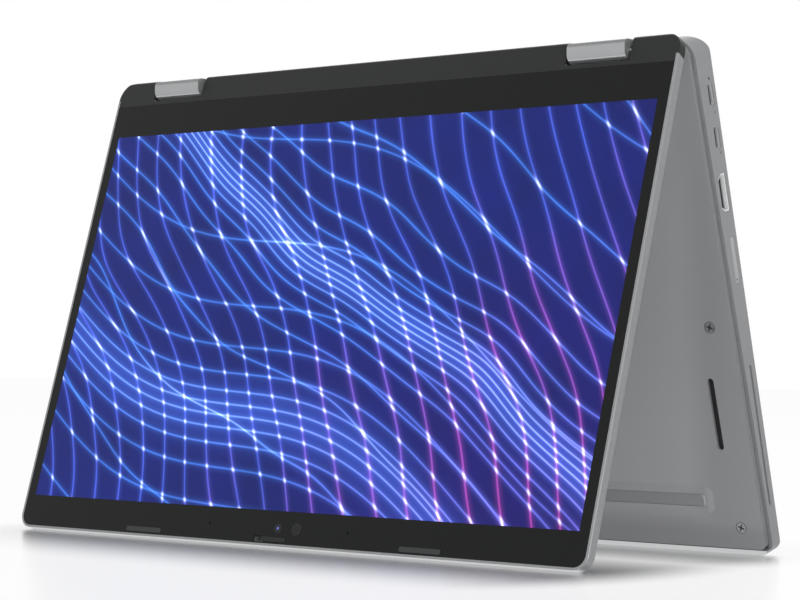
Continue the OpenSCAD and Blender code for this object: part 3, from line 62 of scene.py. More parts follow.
def part_plane(axis_point, down, out):
    """A matrix from a part's millimetres to the room: x along the hinge, then down, then out."""
    columns = (Vector((1, 0, 0)), Vector(down), Vector(out))
    turned = Matrix([[column[row] for column in columns] for row in range(3)]).to_4x4()
    return Matrix.Translation(axis_point) @ turned @ Matrix.Scale(MM, 4)


lid_axis = Vector(joints["lid_hinge"]["pos_m"])
base_axis = Vector(joints["base_hinge"]["pos_m"])
lid_plane = part_plane(
    lid_axis,
    (0, -math.sin(LID_LEAN), -math.cos(LID_LEAN)),
    (0, math.cos(LID_LEAN), -math.sin(LID_LEAN)),
)
base_plane = part_plane(
    base_axis,
    (0, math.sin(BASE_LEAN), -math.cos(BASE_LEAN)),
    (0, math.cos(BASE_LEAN), math.sin(BASE_LEAN)),
)
print("hinge axes at", [round(v, 4) for v in lid_axis], [round(v, 4) for v in base_axis])

# %% [markdown]
# The base is a wedge, thicker at the hinge than at the front, so its underside has a slope of its
# own. The plane is shifted out to the underside and then turned by the slope about a line near
# the hinge. The screws in the underside are shaded in it.

# %% Plane of the underside
UNDERSIDE_DEPTH = 6.5
SLOPE_LINE = 1.95
UNDERSIDE_SLOPE = math.radians(1.1776)
underside_plane = (base_plane @ Matrix.Translation((0, SLOPE_LINE, -UNDERSIDE_DEPTH))
                   @ Matrix.Rotation(UNDERSIDE_SLOPE, 4, "X")
                   @ Matrix.Translation((0, -SLOPE_LINE, 0)))
print("the underside lies", UNDERSIDE_DEPTH, "mm below the hinge line")

# %% [markdown]
# ## The camera
# A long lens stands far enough away that the screen's edges stay nearly parallel. It looks almost
# level, from a little to the right of the screen's middle.

# %% Camera
camera_place = Vector((0.67432, -0.7701, 0.07445))
camera_turn = [math.radians(angle) for angle in (91.4292, -0.6891, 40.8259)]
camera = bpy.data.objects.new("camera", bpy.data.cameras.new("camera"))
camera.data.lens = 111.03
camera.data.sensor_width = 36
camera.location = camera_place
camera.rotation_euler = camera_turn
bpy.context.scene.collection.objects.link(camera)
bpy.context.scene.camera = camera
print("camera distance:", round(camera_place.length, 3), "m")

# %% [markdown]
# ## Building materials from nodes
# A material is a small network. Short helpers keep the networks readable: one adds a node and
# fills its sockets, one does a single sum, and one turns screen values into the shader's linear
# ones.

# %% Colours
def srgb(red, green, blue, alpha=1.0):
    """Turns screen values from 0 to 255 into the linear colour that the shaders use."""
    linear = []
    for value in (red, green, blue):
        value /= 255
        linear.append(value / 12.92 if value <= 0.04045 else ((value + 0.055) / 1.055) ** 2.4)
    return (*linear, alpha)


print("middle grey on a screen is", round(srgb(128, 128, 128)[0], 3), "in the shader")

# %% Nodes and sums
MIX_FACTOR, MIX_A, MIX_B, MIX_RESULT = 0, 6, 7, 2  # sockets of a Mix node that mixes colours


def fill(sockets, values):
    """Sets each named socket, or links it where the value is another node's socket."""
    for name, value in values.items():
        if isinstance(value, bpy.types.NodeSocket):
            value.id_data.links.new(value, sockets[name])
        else:
            sockets[name].default_value = value


def add(tree, kind, inputs=None, **settings):
    """Adds a node with its settings, and fills its inputs."""
    made = tree.nodes.new(kind)
    for name, value in settings.items():
        setattr(made, name, value)
    fill(made.inputs, inputs or {})
    return made


def calc(tree, operation, *values, clamp=False):
    """One sum of a Math node."""
    inputs = dict(enumerate(values))
    return add(tree, "ShaderNodeMath", inputs, operation=operation, use_clamp=clamp).outputs[0]


def smooth_step(tree, value, start, end, height=1.0):
    """Nothing up to start, height from end on, and a smooth rise between them."""
    return add(tree, "ShaderNodeMapRange",
               {"Value": value, "From Min": start, "From Max": end, "To Max": height},
               interpolation_type="SMOOTHSTEP").outputs[0]


def mix_color(tree, share, first, second):
    made = add(tree, "ShaderNodeMix", data_type="RGBA")
    fill(made.inputs, {MIX_FACTOR: share, MIX_A: first, MIX_B: second})
    return made.outputs[MIX_RESULT]


def scale_color(tree, color, amount):
    """A colour times a number that changes over the surface."""
    return add(tree, "ShaderNodeVectorMath", {0: color, "Scale": amount},
               operation="SCALE").outputs[0]


print("helpers ready for", bpy.app.version_string)

# %% [markdown]
# ## Shared effects
# Moulded plastic, sprayed paint and etched glass all have the same two things in different
# amounts: a fine grain that breaks up the shine, and broad, faint differences in tone where hands
# and cleaning have been. Each is one node group, placed in every material with values of its own,
# so that a change to the group reaches all of them.

# %% Node groups
FLOAT, VECTOR = "NodeSocketFloat", "NodeSocketVector"


def new_group(name, inputs, outputs):
    """An empty group; inputs are (kind, first value), outputs are kinds."""
    tree = bpy.data.node_groups.new(name, "ShaderNodeTree")
    for socket, (kind, value) in inputs.items():
        made = tree.interface.new_socket(socket, in_out="INPUT", socket_type=kind)
        if value is not None:
            made.default_value = value
    for socket, kind in outputs.items():
        tree.interface.new_socket(socket, in_out="OUTPUT", socket_type=kind)
    entry = tree.nodes.new("NodeGroupInput")
    leave = tree.nodes.new("NodeGroupOutput")
    return tree, entry.outputs, leave.inputs


def use_group(tree, group, inputs):
    return add(tree, "ShaderNodeGroup", inputs, node_tree=group).outputs


print("node groups so far:", len(bpy.data.node_groups))

# %% [markdown]
# The grain is one small noise. Its height bends the light through a bump, and its tone shifts the
# colour a little. Stretch pulls it out along one direction, which turns grain into brush lines.

# %% Grain
def make_grain():
    tree, given, made = new_group(
        "fine grain",
        {"Vector": (VECTOR, None), "Scale": (FLOAT, 4000.0), "Stretch": (VECTOR, (1, 1, 1))},
        {"Height": FLOAT, "Tone": FLOAT},
    )
    spread = add(tree, "ShaderNodeVectorMath", {0: given["Vector"], 1: given["Stretch"]},
                 operation="MULTIPLY").outputs[0]
    noise = add(tree, "ShaderNodeTexNoise",
                {"Vector": spread, "Scale": given["Scale"], "Detail": 2.0, "Roughness": 0.6})
    tree.links.new(noise.outputs[0], made["Height"])
    shifted = calc(tree, "SUBTRACT", noise.outputs[0], 0.5)
    tree.links.new(calc(tree, "MULTIPLY", shifted, 2.0), made["Tone"])
    return tree


grain_group = make_grain()
print("made:", grain_group.name)

# %% [markdown]
# Handling marks are two noises: a cloud as wide as a palm, and smears a quarter of that size.
# They are kept around zero, so that a material can add as much of them as it needs.

# %% Handling marks
HANDLING_SCALE = 18.0
SMEAR_FINER = 4.0


def make_handling():
    tree, given, made = new_group(
        "handling marks",
        {"Vector": (VECTOR, None), "Scale": (FLOAT, HANDLING_SCALE)},
        {"Cloud": FLOAT, "Smear": FLOAT},
    )
    cloud = add(tree, "ShaderNodeTexNoise",
                {"Vector": given["Vector"], "Scale": given["Scale"], "Detail": 4.0,
                 "Roughness": 0.55})
    finer = calc(tree, "MULTIPLY", given["Scale"], SMEAR_FINER)
    smear = add(tree, "ShaderNodeTexNoise",
                {"Vector": given["Vector"], "Scale": finer, "Detail": 3.0, "Distortion": 1.2})
    tree.links.new(calc(tree, "SUBTRACT", cloud.outputs[0], 0.5), made["Cloud"])
    tree.links.new(calc(tree, "SUBTRACT", smear.outputs[0], 0.5), made["Smear"])
    return tree


handling_group = make_handling()
print("made:", handling_group.name)

# %% [markdown]
# Faces that look down are polished: more metal, a smoother shine, and a lighter colour, which is a painted
# reflection of the pale floor. Faces that look one other way, such as side walls, take a darker colour:
# painted shade. Which way a face looks, in the part's own resting place, tells them apart: it is the cosine
# between the face's normal and a direction.

# %% Which way a face looks
DOWN = (0, 0, -1)
SIDEWAYS = (1, 0, 0)


def make_facing():
    """One where a face looks mostly along the given direction of the resting model."""
    tree, given, made = new_group(
        "facing",
        {"Normal": (VECTOR, None), "Direction": (VECTOR, DOWN), "From": (FLOAT, 0.5),
         "To": (FLOAT, 0.7)},
        {"Mask": FLOAT},
    )
    along = add(tree, "ShaderNodeVectorMath", {0: given["Normal"], 1: given["Direction"]},
                operation="DOT_PRODUCT").outputs["Value"]
    tree.links.new(smooth_step(tree, along, given["From"], given["To"]), made["Mask"])
    return tree


facing_group = make_facing()
print("node groups:", [group.name for group in bpy.data.node_groups])

# %% [markdown]
# ## One recipe for the plain finishes
# Most parts differ only in colour, shine, metal and grain. The recipe below wires the groups into
# a Principled shader: the grain drives a bump and a little of the colour, the handling marks
# drive the roughness. Each finish then needs one line.

# %% Recipe for a finish
RELIEF_DEPTH = 0.0002
RIM_METAL = 0.9
RIM_SMOOTHER = -0.15
SHADED_WIDTH = 0.45


def finish(name, color, roughness, metallic=0.0, grain=4000.0, bump=0.02, tone=0.03,
           marks=0.05, stretch=(1, 1, 1), specular=0.5, coat=0.0, coat_roughness=0.1,
           painted_reflection=None, shaded=None, shaded_way=SIDEWAYS, shaded_from=0.15):
    """Faces that look down take a lighter colour, a painted reflection; faces that look shaded_way take the
    shaded colour, a painted shade.
    """
    material = bpy.data.materials.new(name)
    material.use_nodes = True
    tree = material.node_tree
    shader = tree.nodes["Principled BSDF"]
    place = add(tree, "ShaderNodeTexCoord").outputs["Object"]
    fine = use_group(tree, grain_group, {"Vector": place, "Scale": grain, "Stretch": stretch})
    handled = use_group(tree, handling_group, {"Vector": place, "Scale": HANDLING_SCALE})
    lighter = calc(tree, "MULTIPLY_ADD", fine["Tone"], tone, 1.0)
    lighter = calc(tree, "MULTIPLY_ADD", handled["Cloud"], tone, lighter)
    shade = scale_color(tree, color[:3], lighter)
    rough = calc(tree, "MULTIPLY_ADD", handled["Smear"], marks, roughness)
    rough = calc(tree, "MULTIPLY_ADD", fine["Tone"], marks * 0.4, rough)
    shader.inputs["Metallic"].default_value = metallic
    turned = add(tree, "ShaderNodeTexCoord").outputs["Normal"]
    # Faces that look down: more metal, smoother, and a lighter colour as a painted reflection.
    if painted_reflection:
        mask = use_group(tree, facing_group, {"Normal": turned, "Direction": DOWN})[0]
        shade = mix_color(tree, mask, shade, painted_reflection)
        rough = calc(tree, "MULTIPLY_ADD", mask, RIM_SMOOTHER, rough)
        tree.links.new(calc(tree, "MULTIPLY_ADD", mask, RIM_METAL - metallic, metallic),
                       shader.inputs["Metallic"])
    # Faces that look shaded_way: a darker colour as a painted shade.
    if shaded:
        if shaded_way == SIDEWAYS:  # both side walls alike
            turned = add(tree, "ShaderNodeVectorMath", {0: turned},
                         operation="ABSOLUTE").outputs[0]
        mask = use_group(tree, facing_group,
                         {"Normal": turned, "Direction": shaded_way, "From": shaded_from,
                          "To": shaded_from + SHADED_WIDTH})[0]
        shade = mix_color(tree, mask, shade, shaded)
    tree.links.new(shade, shader.inputs["Base Color"])
    tree.links.new(rough, shader.inputs["Roughness"])
    relief = add(tree, "ShaderNodeBump",
                 {"Height": fine["Height"], "Strength": bump, "Distance": RELIEF_DEPTH})
    tree.links.new(relief.outputs[0], shader.inputs["Normal"])
    shader.inputs["Specular IOR Level"].default_value = specular
    shader.inputs["Coat Weight"].default_value = coat
    shader.inputs["Coat Roughness"].default_value = coat_roughness
    return material


def wear(material, *names):
    """Gives construction nodes their finish."""
    for name in names:
        nodes[name].data.materials.clear()
        nodes[name].data.materials.append(material)
    print(material.name, "is worn by", len(names))


# %% [markdown]
# ## Silver paint and plated hinges
# The lid's back and the palm rest are sprayed with a fine silver paint under a satin lacquer, and their cut
# rims are bright metal, whose lighter colour is a painted reflection. Their side walls take a darker grey:
# painted shade. The bottom cover is the same paint without the lacquer. The hinge covers are plated and
# brushed round, so their grain is stretched into lines; their tops take a painted shade and their lower
# edges a painted reflection.

# %% Silver paint
# Down-facing rims are polished, with a lighter colour as a painted reflection; side walls take a darker
# colour, a painted shade.
case_paint = finish("case_paint", srgb(130, 131, 133), 0.45, metallic=0.1, grain=9000.0,
                    bump=0.03, tone=0.04, marks=0.05, coat=0.08, coat_roughness=0.3,
                    painted_reflection=srgb(200, 201, 202), shaded=srgb(118, 119, 121))
tray_paint = finish("tray_paint", srgb(142, 143, 145), 0.45, metallic=0.1, grain=9000.0,
                    bump=0.03, tone=0.04, coat=0.08, coat_roughness=0.3)
wear(case_paint, "lid_back_cover", "palm_rest_frame")
wear(tray_paint, "sim_tray")

# %% Plated hinge covers
# Tops take a darker colour, a painted shade; lower edges take a lighter one, a painted reflection.
hinge_paint = finish("hinge_paint", srgb(164, 165, 166), 0.32, metallic=0.75, grain=2500.0,
                     bump=0.05, tone=0.05, marks=0.06, stretch=(0.03, 1, 1),
                     painted_reflection=srgb(212, 213, 214), shaded=srgb(128, 129, 130),
                     shaded_way=(0, -0.26, 0.966), shaded_from=0.25)
wear(hinge_paint, "hinge_covers")

# %% [markdown]
# ## The underside
# The bottom cover is one large pressed sheet. Along its sides and its front it turns softly towards the
# walls, where it catches less light. A bump can't show so broad a turn, so bands of painted shade that
# follow the edges in the base's own millimetres stand in for it. The side bands widen to the front. The
# cover's edges, which look sideways, take a darker colour as well: painted shade.

# %% Part millimetres inside a material
def on_plane(tree, plane):
    """The x, y and z of the shaded point in a part's own plane, in millimetres."""
    spot, turn, size = plane.decompose()
    place = add(tree, "ShaderNodeTexCoord").outputs["Object"]
    there = add(tree, "ShaderNodeMapping",
                {"Vector": place, "Location": spot, "Rotation": turn.to_euler(), "Scale": size},
                vector_type="TEXTURE").outputs[0]
    return add(tree, "ShaderNodeSeparateXYZ", {0: there}).outputs


print("one part unit is", round(base_plane.to_scale().x, 6), "m")

# %% Paint of the bottom cover
# Bands of painted shade on the underside: where each starts and ends, in millimetres, and how much it
# darkens.
SIDE_SHADE_BAND = {"start": 140.0, "end": 158.0, "depth": 0.2, "widening": 0.13}
FRONT_SHADE_BAND = {"start": 180.0, "end": 193.0, "depth": 0.31}


def shade_cover_bands(material):
    """A painted shade on the outer bands of the underside, where it turns towards the walls."""
    tree = material.node_tree
    shade = tree.nodes["Principled BSDF"].inputs["Base Color"]
    parts = on_plane(tree, base_plane)
    outward = calc(tree, "MULTIPLY_ADD", parts["Y"], SIDE_SHADE_BAND["widening"],
                   calc(tree, "ABSOLUTE", parts["X"]))
    painted_shade = 0.0
    for value, band in ((outward, SIDE_SHADE_BAND), (parts["Y"], FRONT_SHADE_BAND)):
        step = smooth_step(tree, value, band["start"], band["end"], band["depth"])
        painted_shade = calc(tree, "MAXIMUM", step, painted_shade)
    kept = calc(tree, "SUBTRACT", 1.0, painted_shade)
    tree.links.new(scale_color(tree, shade.links[0].from_socket, kept), shade)


# Cover edges that look sideways take a darker colour, a painted shade, and the bands add more painted shade.
cover_paint = finish("cover_paint", srgb(153, 154, 156), 0.5, metallic=0.1, grain=8000.0,
                     bump=0.03, tone=0.04, marks=0.05, shaded=srgb(113, 114, 116))
shade_cover_bands(cover_paint)
wear(cover_paint, "bottom_cover")

# %% [markdown]
# ## Dark trim, rubber and keys
# The strip along the lid's hinge edge, the keyboard frame and the keycaps are moulded black
# plastic, each with a grain of its own. The feet and the lid's bumpers are rubber, which is
# duller and rougher. The recipe covers them all, with a coarser bump than paint has.

# %% Plastic
dark_trim = finish("dark_trim", srgb(30, 31, 31), 0.5, specular=0.22, grain=7000.0,
                   bump=0.12, tone=0.05)
black_trim = finish("black_trim", srgb(30, 30, 32), 0.5, grain=6000.0, bump=0.10, tone=0.06)
key_plastic = finish("key_plastic", srgb(27, 27, 29), 0.48, grain=5200.0, bump=0.16, tone=0.06,
                     marks=0.10)
key_rows = [name for name in nodes
            if name.endswith("_keys") or name in ("space_bar", "enter_key")]
wear(dark_trim, "hinge_strip", "camera_shutter")
wear(black_trim, "keyboard_frame", "membrane_sheet", "fan_housing", "fan_rotor", "speakers",
     "audio_jack", "display_cable")
wear(key_plastic, "power_button", *key_rows)

# %% Rubber
foot_rubber = finish("foot_rubber", srgb(134, 135, 136), 0.72, grain=3800.0, bump=0.25,
                     tone=0.06, specular=0.3)
trim_rubber = finish("trim_rubber", srgb(50, 51, 51), 0.66, grain=3800.0, bump=0.2, tone=0.05,
                     specular=0.3)
wear(foot_rubber, "front_foot", "rear_foot")
wear(trim_rubber, "lid_bumpers")

# %% [markdown]
# ## Metals and boards inside
# Hardly any of this shows, but a vent or an open port lets the eye in, and other people may take
# the part to pieces. Turned and pressed steel, bronze gears, a copper heat pipe, green boards,
# black chips and wrapped cells each take the recipe once.

# %% Metals
steel = finish("steel", srgb(186, 188, 190), 0.32, metallic=0.9, grain=3000.0, bump=0.05,
               stretch=(0.05, 1, 1))
bronze = finish("bronze", srgb(176, 148, 92), 0.42, metallic=0.9, grain=5000.0, bump=0.08)
copper = finish("copper", srgb(190, 118, 78), 0.30, metallic=0.95, grain=2600.0, bump=0.04)
fin_metal = finish("fin_metal", srgb(186, 182, 176), 0.35, metallic=0.9, grain=4000.0, bump=0.05)
wear(steel, "lid_hinge_brackets", "hinge_carriers", "base_hinge_shafts", "lid_hinge_shafts",
     "base_hinge_brackets", "hinge_screws", "keyboard_plate", "touchpad_frame")
wear(bronze, "friction_sleeves", "idler_gears_base_side", "idler_gears_lid_side",
     "base_shaft_gears", "lid_shaft_gears")
wear(copper, "heat_pipe", "antennas")
wear(fin_metal, "cooling_fins")

# %% Boards, chips, cells and the touchpad
board_resin = finish("board_resin", srgb(34, 78, 50), 0.40, grain=1500.0, bump=0.06, tone=0.15)
chip_resin = finish("chip_resin", srgb(46, 48, 50), 0.34, grain=3000.0, bump=0.05)
cell_wrap = finish("cell_wrap", srgb(32, 32, 34), 0.38, grain=900.0, bump=0.1, tone=0.08)
pad_glass = finish("pad_glass", srgb(148, 150, 152), 0.30, metallic=0.2, grain=9000.0, bump=0.02,
                   coat=0.2, coat_roughness=0.2)
wear(board_resin, "mainboard", "camera_module", "solid_state_drive", "wireless_card")
wear(chip_resin, "processor", "display_panel")
wear(cell_wrap, "battery_pack")
wear(pad_glass, "touchpad")

# %% [markdown]
# ## Ports
# A socket is a bright metal sleeve round a dark tongue with gilt contacts, and towards its back a painted
# shade darkens it. Sleeve and tongue are one node, so masks in the base's own millimetres tell them apart.
# Masks also draw the contacts: a bar wherever the place along the tongue is near half a pitch.

# %% Masks laid over a finish
def within(tree, value, middle, half):
    """One where a value lies no further than half from the middle."""
    away = calc(tree, "ABSOLUTE", calc(tree, "SUBTRACT", value, middle))
    return calc(tree, "LESS_THAN", away, half)


def recolor(tree, shader, mask, color):
    """Lays a colour over what the shader's colour already has, where the mask is one."""
    before = shader.inputs["Base Color"].links[0].from_socket
    tree.links.new(mix_color(tree, mask, before, color), shader.inputs["Base Color"])


def less_metallic(tree, shader, mask, value=0.1):
    """Takes the shine of metal away where the mask is one."""
    before = shader.inputs["Metallic"].default_value
    tree.links.new(calc(tree, "MULTIPLY_ADD", mask, value - before, before),
                   shader.inputs["Metallic"])


print("masks ready; materials so far:", len(bpy.data.materials))

# %% Port metal, tongues and contacts
PORT_FACE = 152.4
TONGUE_SLACK = 0.06
CONTACT_START = 1.6
CONTACT_HALF = 0.27


def port_finish(name, middles, height, half_width, half_thick, pitch, shade_depths, side=1,
                shine=(226, 227, 228)):
    """Sleeve, tongue and contacts of a port; lengths in millimetres on the base plane."""
    material = finish(name, srgb(*shine), 0.38, metallic=0.2, grain=4500.0, bump=0.04)
    tree = material.node_tree
    shader = tree.nodes["Principled BSDF"]
    parts = on_plane(tree, base_plane)
    inward = calc(tree, "SUBTRACT", PORT_FACE, calc(tree, "MULTIPLY", parts["X"], side))
    # Painted shade: the socket darkens towards its back.
    back_shade = smooth_step(tree, inward, *shade_depths)
    flat = within(tree, parts["Z"], height, half_thick + TONGUE_SLACK)
    tongue = 0.0
    for middle in middles:
        near = within(tree, parts["Y"], middle, half_width + TONGUE_SLACK)
        tongue = calc(tree, "MAXIMUM", tongue, calc(tree, "MULTIPLY", near, flat))
    beat = calc(tree, "FRACT", calc(tree, "DIVIDE", parts["Y"], pitch))
    contact = calc(tree, "MULTIPLY", within(tree, beat, 0.5, CONTACT_HALF),
                   calc(tree, "GREATER_THAN", inward, CONTACT_START))
    inner = mix_color(tree, contact, srgb(30, 30, 32), srgb(196, 160, 96))
    recolor(tree, shader, tongue, inner)
    recolor(tree, shader, back_shade, srgb(40, 40, 42))
    less_metallic(tree, shader, calc(tree, "MAXIMUM", tongue, back_shade))
    return material


wear(port_finish("type_c_metal", (18.5, 35.0), 3.3, 3.35, 0.35, 0.5, (0.5, 1.6),
                 shine=(178, 179, 180)), "type_c_ports")
wear(port_finish("video_metal", (56.3,), 2.1, 5.2, 0.6, 1.0, (1.2, 2.4)), "video_port")
wear(port_finish("type_a_metal", (40.0,), 3.4, 5.55, 0.8, 2.2, (1.5, 6.0), side=-1),
     "type_a_port")
wear(port_finish("card_metal", (152.9,), 20.0, 1.0, 0.1, 2.5, (0.2, 1.0)), "smart_card_reader")
wear(port_finish("memory_metal", (62.0,), 20.0, 1.0, 0.1, 1.1, (0.2, 1.0), side=-1),
     "memory_card_reader")

# %% [markdown]
# ## Screws in the underside
# Satin heads with a cross cut into them. The cross is there as a shape, but it is small and would catch the
# light, while shade keeps a real one dark. So everything deeper than the head's face takes a painted shade,
# by its depth below the underside's own plane.

# %% Screw heads
RECESS_SHADE_START = 0.12
RECESS_SHADE_END = 0.4


def screw_finish():
    material = finish("screw_steel", srgb(150, 151, 152), 0.35, metallic=0.6, grain=3000.0,
                      bump=0.06)
    tree = material.node_tree
    shader = tree.nodes["Principled BSDF"]
    parts = on_plane(tree, underside_plane)
    # Painted shade in the cross and below the head's face.
    recess_shade = add(tree, "ShaderNodeMapRange", {"Value": parts["Z"], "From Min": RECESS_SHADE_START,
                                              "From Max": RECESS_SHADE_END}).outputs[0]
    recolor(tree, shader, recess_shade, srgb(34, 34, 35))
    less_metallic(tree, shader, recess_shade)
    return material


wear(screw_finish(), "cover_screws")

# %% [markdown]
# ## The lit screen
# One sheet of glass covers the picture and its black border, so one material does both: a mask
# in the lid's own millimetres tells picture from border. The picture is a made-up pattern of
# strands of light. A strand is a line along which a coordinate is halfway between two whole
# numbers. Bending the coordinate bends the strands, and squeezing it bunches them into a fold.

# %% Strand of light
GLOW_SPREAD = 0.25


def bell(tree, value):
    """One at zero, and falling off smoothly to both sides of it."""
    squared = calc(tree, "MULTIPLY", value, value)
    return calc(tree, "EXPONENT", calc(tree, "MULTIPLY", squared, -1.0))


def make_strands():
    """Parallel threads of light, one halfway between each two whole numbers."""
    tree, given, made = new_group(
        "strands",
        {"Coordinate": (FLOAT, 0.0), "Spacing": (FLOAT, 10.0), "Width": (FLOAT, 0.4)},
        {"Core": FLOAT, "Glow": FLOAT},
    )
    part = calc(tree, "FRACT", given["Coordinate"])
    away = calc(tree, "ABSOLUTE", calc(tree, "SUBTRACT", part, 0.5))
    away = calc(tree, "DIVIDE", calc(tree, "MULTIPLY", away, given["Spacing"]), given["Width"])
    tree.links.new(bell(tree, away), made["Core"])
    tree.links.new(bell(tree, calc(tree, "MULTIPLY", away, GLOW_SPREAD)), made["Glow"])
    return tree


strand_group = make_strands()
print("made:", strand_group.name)

# %% [markdown]
# Two folds cross the screen. In each, the strands run along one bent line and crowd together near
# it: the coordinate is the logarithm of the distance, which is steep at the line and flat far
# off. A third set of strands runs across them, evenly spaced.

# %% Folds
STRAND_WIDTH = 0.42
GLOW_WIDER = 1.15


def wave(tree, value, length, height, start=0.0):
    angle = calc(tree, "MULTIPLY_ADD", value, math.tau / length, start)
    return calc(tree, "MULTIPLY", calc(tree, "SINE", angle), height)


def noise_at(tree, vector, scale, detail=1.0):
    return add(tree, "ShaderNodeTexNoise",
               {"Vector": vector, "Scale": scale, "Detail": detail}).outputs[0]


def fold(tree, across, up, bend, slope, start, width, spacing):
    """Strands that bunch together along one bent line; gives their light and the line's glow."""
    line = calc(tree, "ADD", calc(tree, "MULTIPLY_ADD", across, slope, start), bend)
    off = calc(tree, "SUBTRACT", up, line)
    reach = calc(tree, "SQRT", calc(tree, "MULTIPLY_ADD", off, off, width * width))
    squeezed = calc(tree, "LOGARITHM", calc(tree, "ADD", off, reach), math.e)
    lines = use_group(tree, strand_group,
                      {"Coordinate": calc(tree, "MULTIPLY", squeezed, spacing),
                       "Spacing": calc(tree, "MULTIPLY", reach, 1.0 / spacing),
                       "Width": STRAND_WIDTH})
    return lines, bell(tree, calc(tree, "DIVIDE", off, width * GLOW_WIDER))


print("a strand is", STRAND_WIDTH, "mm to each side")

# %% Three sets of strands
DRIFT = 46.0
CROSS_SPACING = 15.0
CROSS_LEAN = 0.55


def three_strands(tree, across, up, flat):
    """Light of the two folds and of the strands across them, and the glow of each fold."""
    drift = calc(tree, "MULTIPLY", calc(tree, "SUBTRACT", noise_at(tree, flat, 0.008), 0.5),
                 DRIFT)
    bend = calc(tree, "ADD", drift, wave(tree, across, 340.0, 10.0))
    first, first_glow = fold(tree, across, up, bend, slope=-0.66, start=20.0, width=8.0,
                             spacing=2.4)
    bend = wave(tree, across, 260.0, 14.0, 0.9)
    second, second_glow = fold(tree, across, up, bend, slope=-0.40, start=-58.0, width=10.0,
                               spacing=2.1)
    cross = calc(tree, "ADD", calc(tree, "MULTIPLY_ADD", up, CROSS_LEAN, across),
                 calc(tree, "ADD", drift, wave(tree, up, 170.0, 7.0)))
    third = use_group(tree, strand_group,
                      {"Coordinate": calc(tree, "DIVIDE", cross, CROSS_SPACING),
                       "Spacing": CROSS_SPACING, "Width": STRAND_WIDTH})
    return first, second, third, first_glow, second_glow


print("strands across the folds:", CROSS_SPACING, "mm apart")

# %% [markdown]
# The ground is deep blue and grows violet towards one lower corner, and the strands turn from
# blue to pink with it. Where strands meet, a white spark sits. Light adds up, so every layer is a
# colour times its strength, and all of them are summed.

# %% Colours of the picture
WARM_ACROSS, WARM_UP, WARM_START = 0.004, -0.005, -0.12  # share of pink: per mm, per mm, in all
SPARK_SHARPNESS = 5.0


def light_sum(tree, layers):
    """Adds up light; each layer is a colour and how much there is of it."""
    total = None
    for color, amount in layers:
        lit = scale_color(tree, color, amount)
        total = lit if total is None else add(tree, "ShaderNodeVectorMath", {0: total, 1: lit},
                                              operation="ADD").outputs[0]
    return total


def picture_light(tree, across, up, flat):
    """Colour of the picture at a place on the glass, in millimetres from its middle."""
    first, second, third, first_glow, second_glow = three_strands(tree, across, up, flat)
    blue = 0.0
    for strand, share in ((first["Core"], 0.8), (first["Glow"], 0.2), (second["Core"], 0.7),
                          (second["Glow"], 0.16)):
        blue = calc(tree, "MULTIPLY_ADD", strand, share, blue)
    violet = calc(tree, "MULTIPLY", calc(tree, "MULTIPLY_ADD", third["Glow"], 0.3, third["Core"]),
                  0.75)
    meeting = calc(tree, "MAXIMUM", first["Glow"], second["Glow"])
    spark = calc(tree, "POWER", calc(tree, "MULTIPLY", meeting, third["Glow"]),
                 SPARK_SHARPNESS)
    warm = calc(tree, "MULTIPLY_ADD", across, WARM_ACROSS, WARM_START)
    warm = calc(tree, "MULTIPLY_ADD", up, WARM_UP, warm)
    warm = calc(tree, "ADD", warm, calc(tree, "SUBTRACT", noise_at(tree, flat, 0.016), 0.5),
                clamp=True)
    haze = calc(tree, "MULTIPLY_ADD", noise_at(tree, flat, 0.03, 2.0), 0.7, 0.5)
    shine = calc(tree, "MULTIPLY_ADD", second_glow, 0.75, first_glow)
    pale = calc(tree, "MULTIPLY", calc(tree, "POWER", blue, 2.0), shine)
    return light_sum(tree, (
        (mix_color(tree, warm, srgb(8, 28, 124), srgb(30, 14, 118)), haze),
        (mix_color(tree, warm, srgb(74, 138, 250), srgb(130, 120, 250)),
         calc(tree, "MULTIPLY", blue, haze)),
        (mix_color(tree, warm, srgb(84, 110, 240), srgb(226, 64, 158)),
         calc(tree, "MULTIPLY", violet, haze)),
        (srgb(78, 120, 250)[:3], calc(tree, "MULTIPLY", shine, 0.42)),
        (srgb(190, 205, 255)[:3], calc(tree, "MULTIPLY", pale, 0.6)),
        (srgb(225, 232, 255)[:3], calc(tree, "MULTIPLY", spark, 1.3)),
    ))


print("the picture is a sum of six lights")

# %% [markdown]
# The glass is nearly black and smooth, with a weak gloss, as an etched screen has. The picture
# goes into its emission, so the screen is lit from inside and the room still shines on its face.

# %% Glass with the picture behind it
PICTURE_W = 293.76
PICTURE_H = 165.24
PICTURE_START = 21.86


def screen_glass():
    material = finish("screen_glass", srgb(14, 15, 15), 0.24, grain=9000.0, bump=0.0, tone=0.02,
                      marks=0.05, specular=0.16)
    tree = material.node_tree
    shader = tree.nodes["Principled BSDF"]
    parts = on_plane(tree, lid_plane)
    across = parts["X"]
    up = calc(tree, "SUBTRACT", PICTURE_START + PICTURE_H / 2, parts["Y"])
    flat = add(tree, "ShaderNodeCombineXYZ", {"X": across, "Y": up}).outputs[0]
    mask = calc(tree, "MULTIPLY", within(tree, across, 0.0, PICTURE_W / 2),
                within(tree, up, 0.0, PICTURE_H / 2))
    light = picture_light(tree, across, up, flat)
    tree.links.new(scale_color(tree, light, mask), shader.inputs["Emission Color"])
    shader.inputs["Emission Strength"].default_value = 1.0
    return material


wear(screen_glass(), "cover_glass")

# %% [markdown]
# The camera and the light sensor look out through two small windows in the border. A window is nearly black
# glass, and behind it a fine ring shows. In the middle of the camera's lens a blue gleam is painted, a
# painted reflection of its coating, and the light sensor has a dark disc there. Rings are circles round the
# window's middle, so the distance from it is all they need.

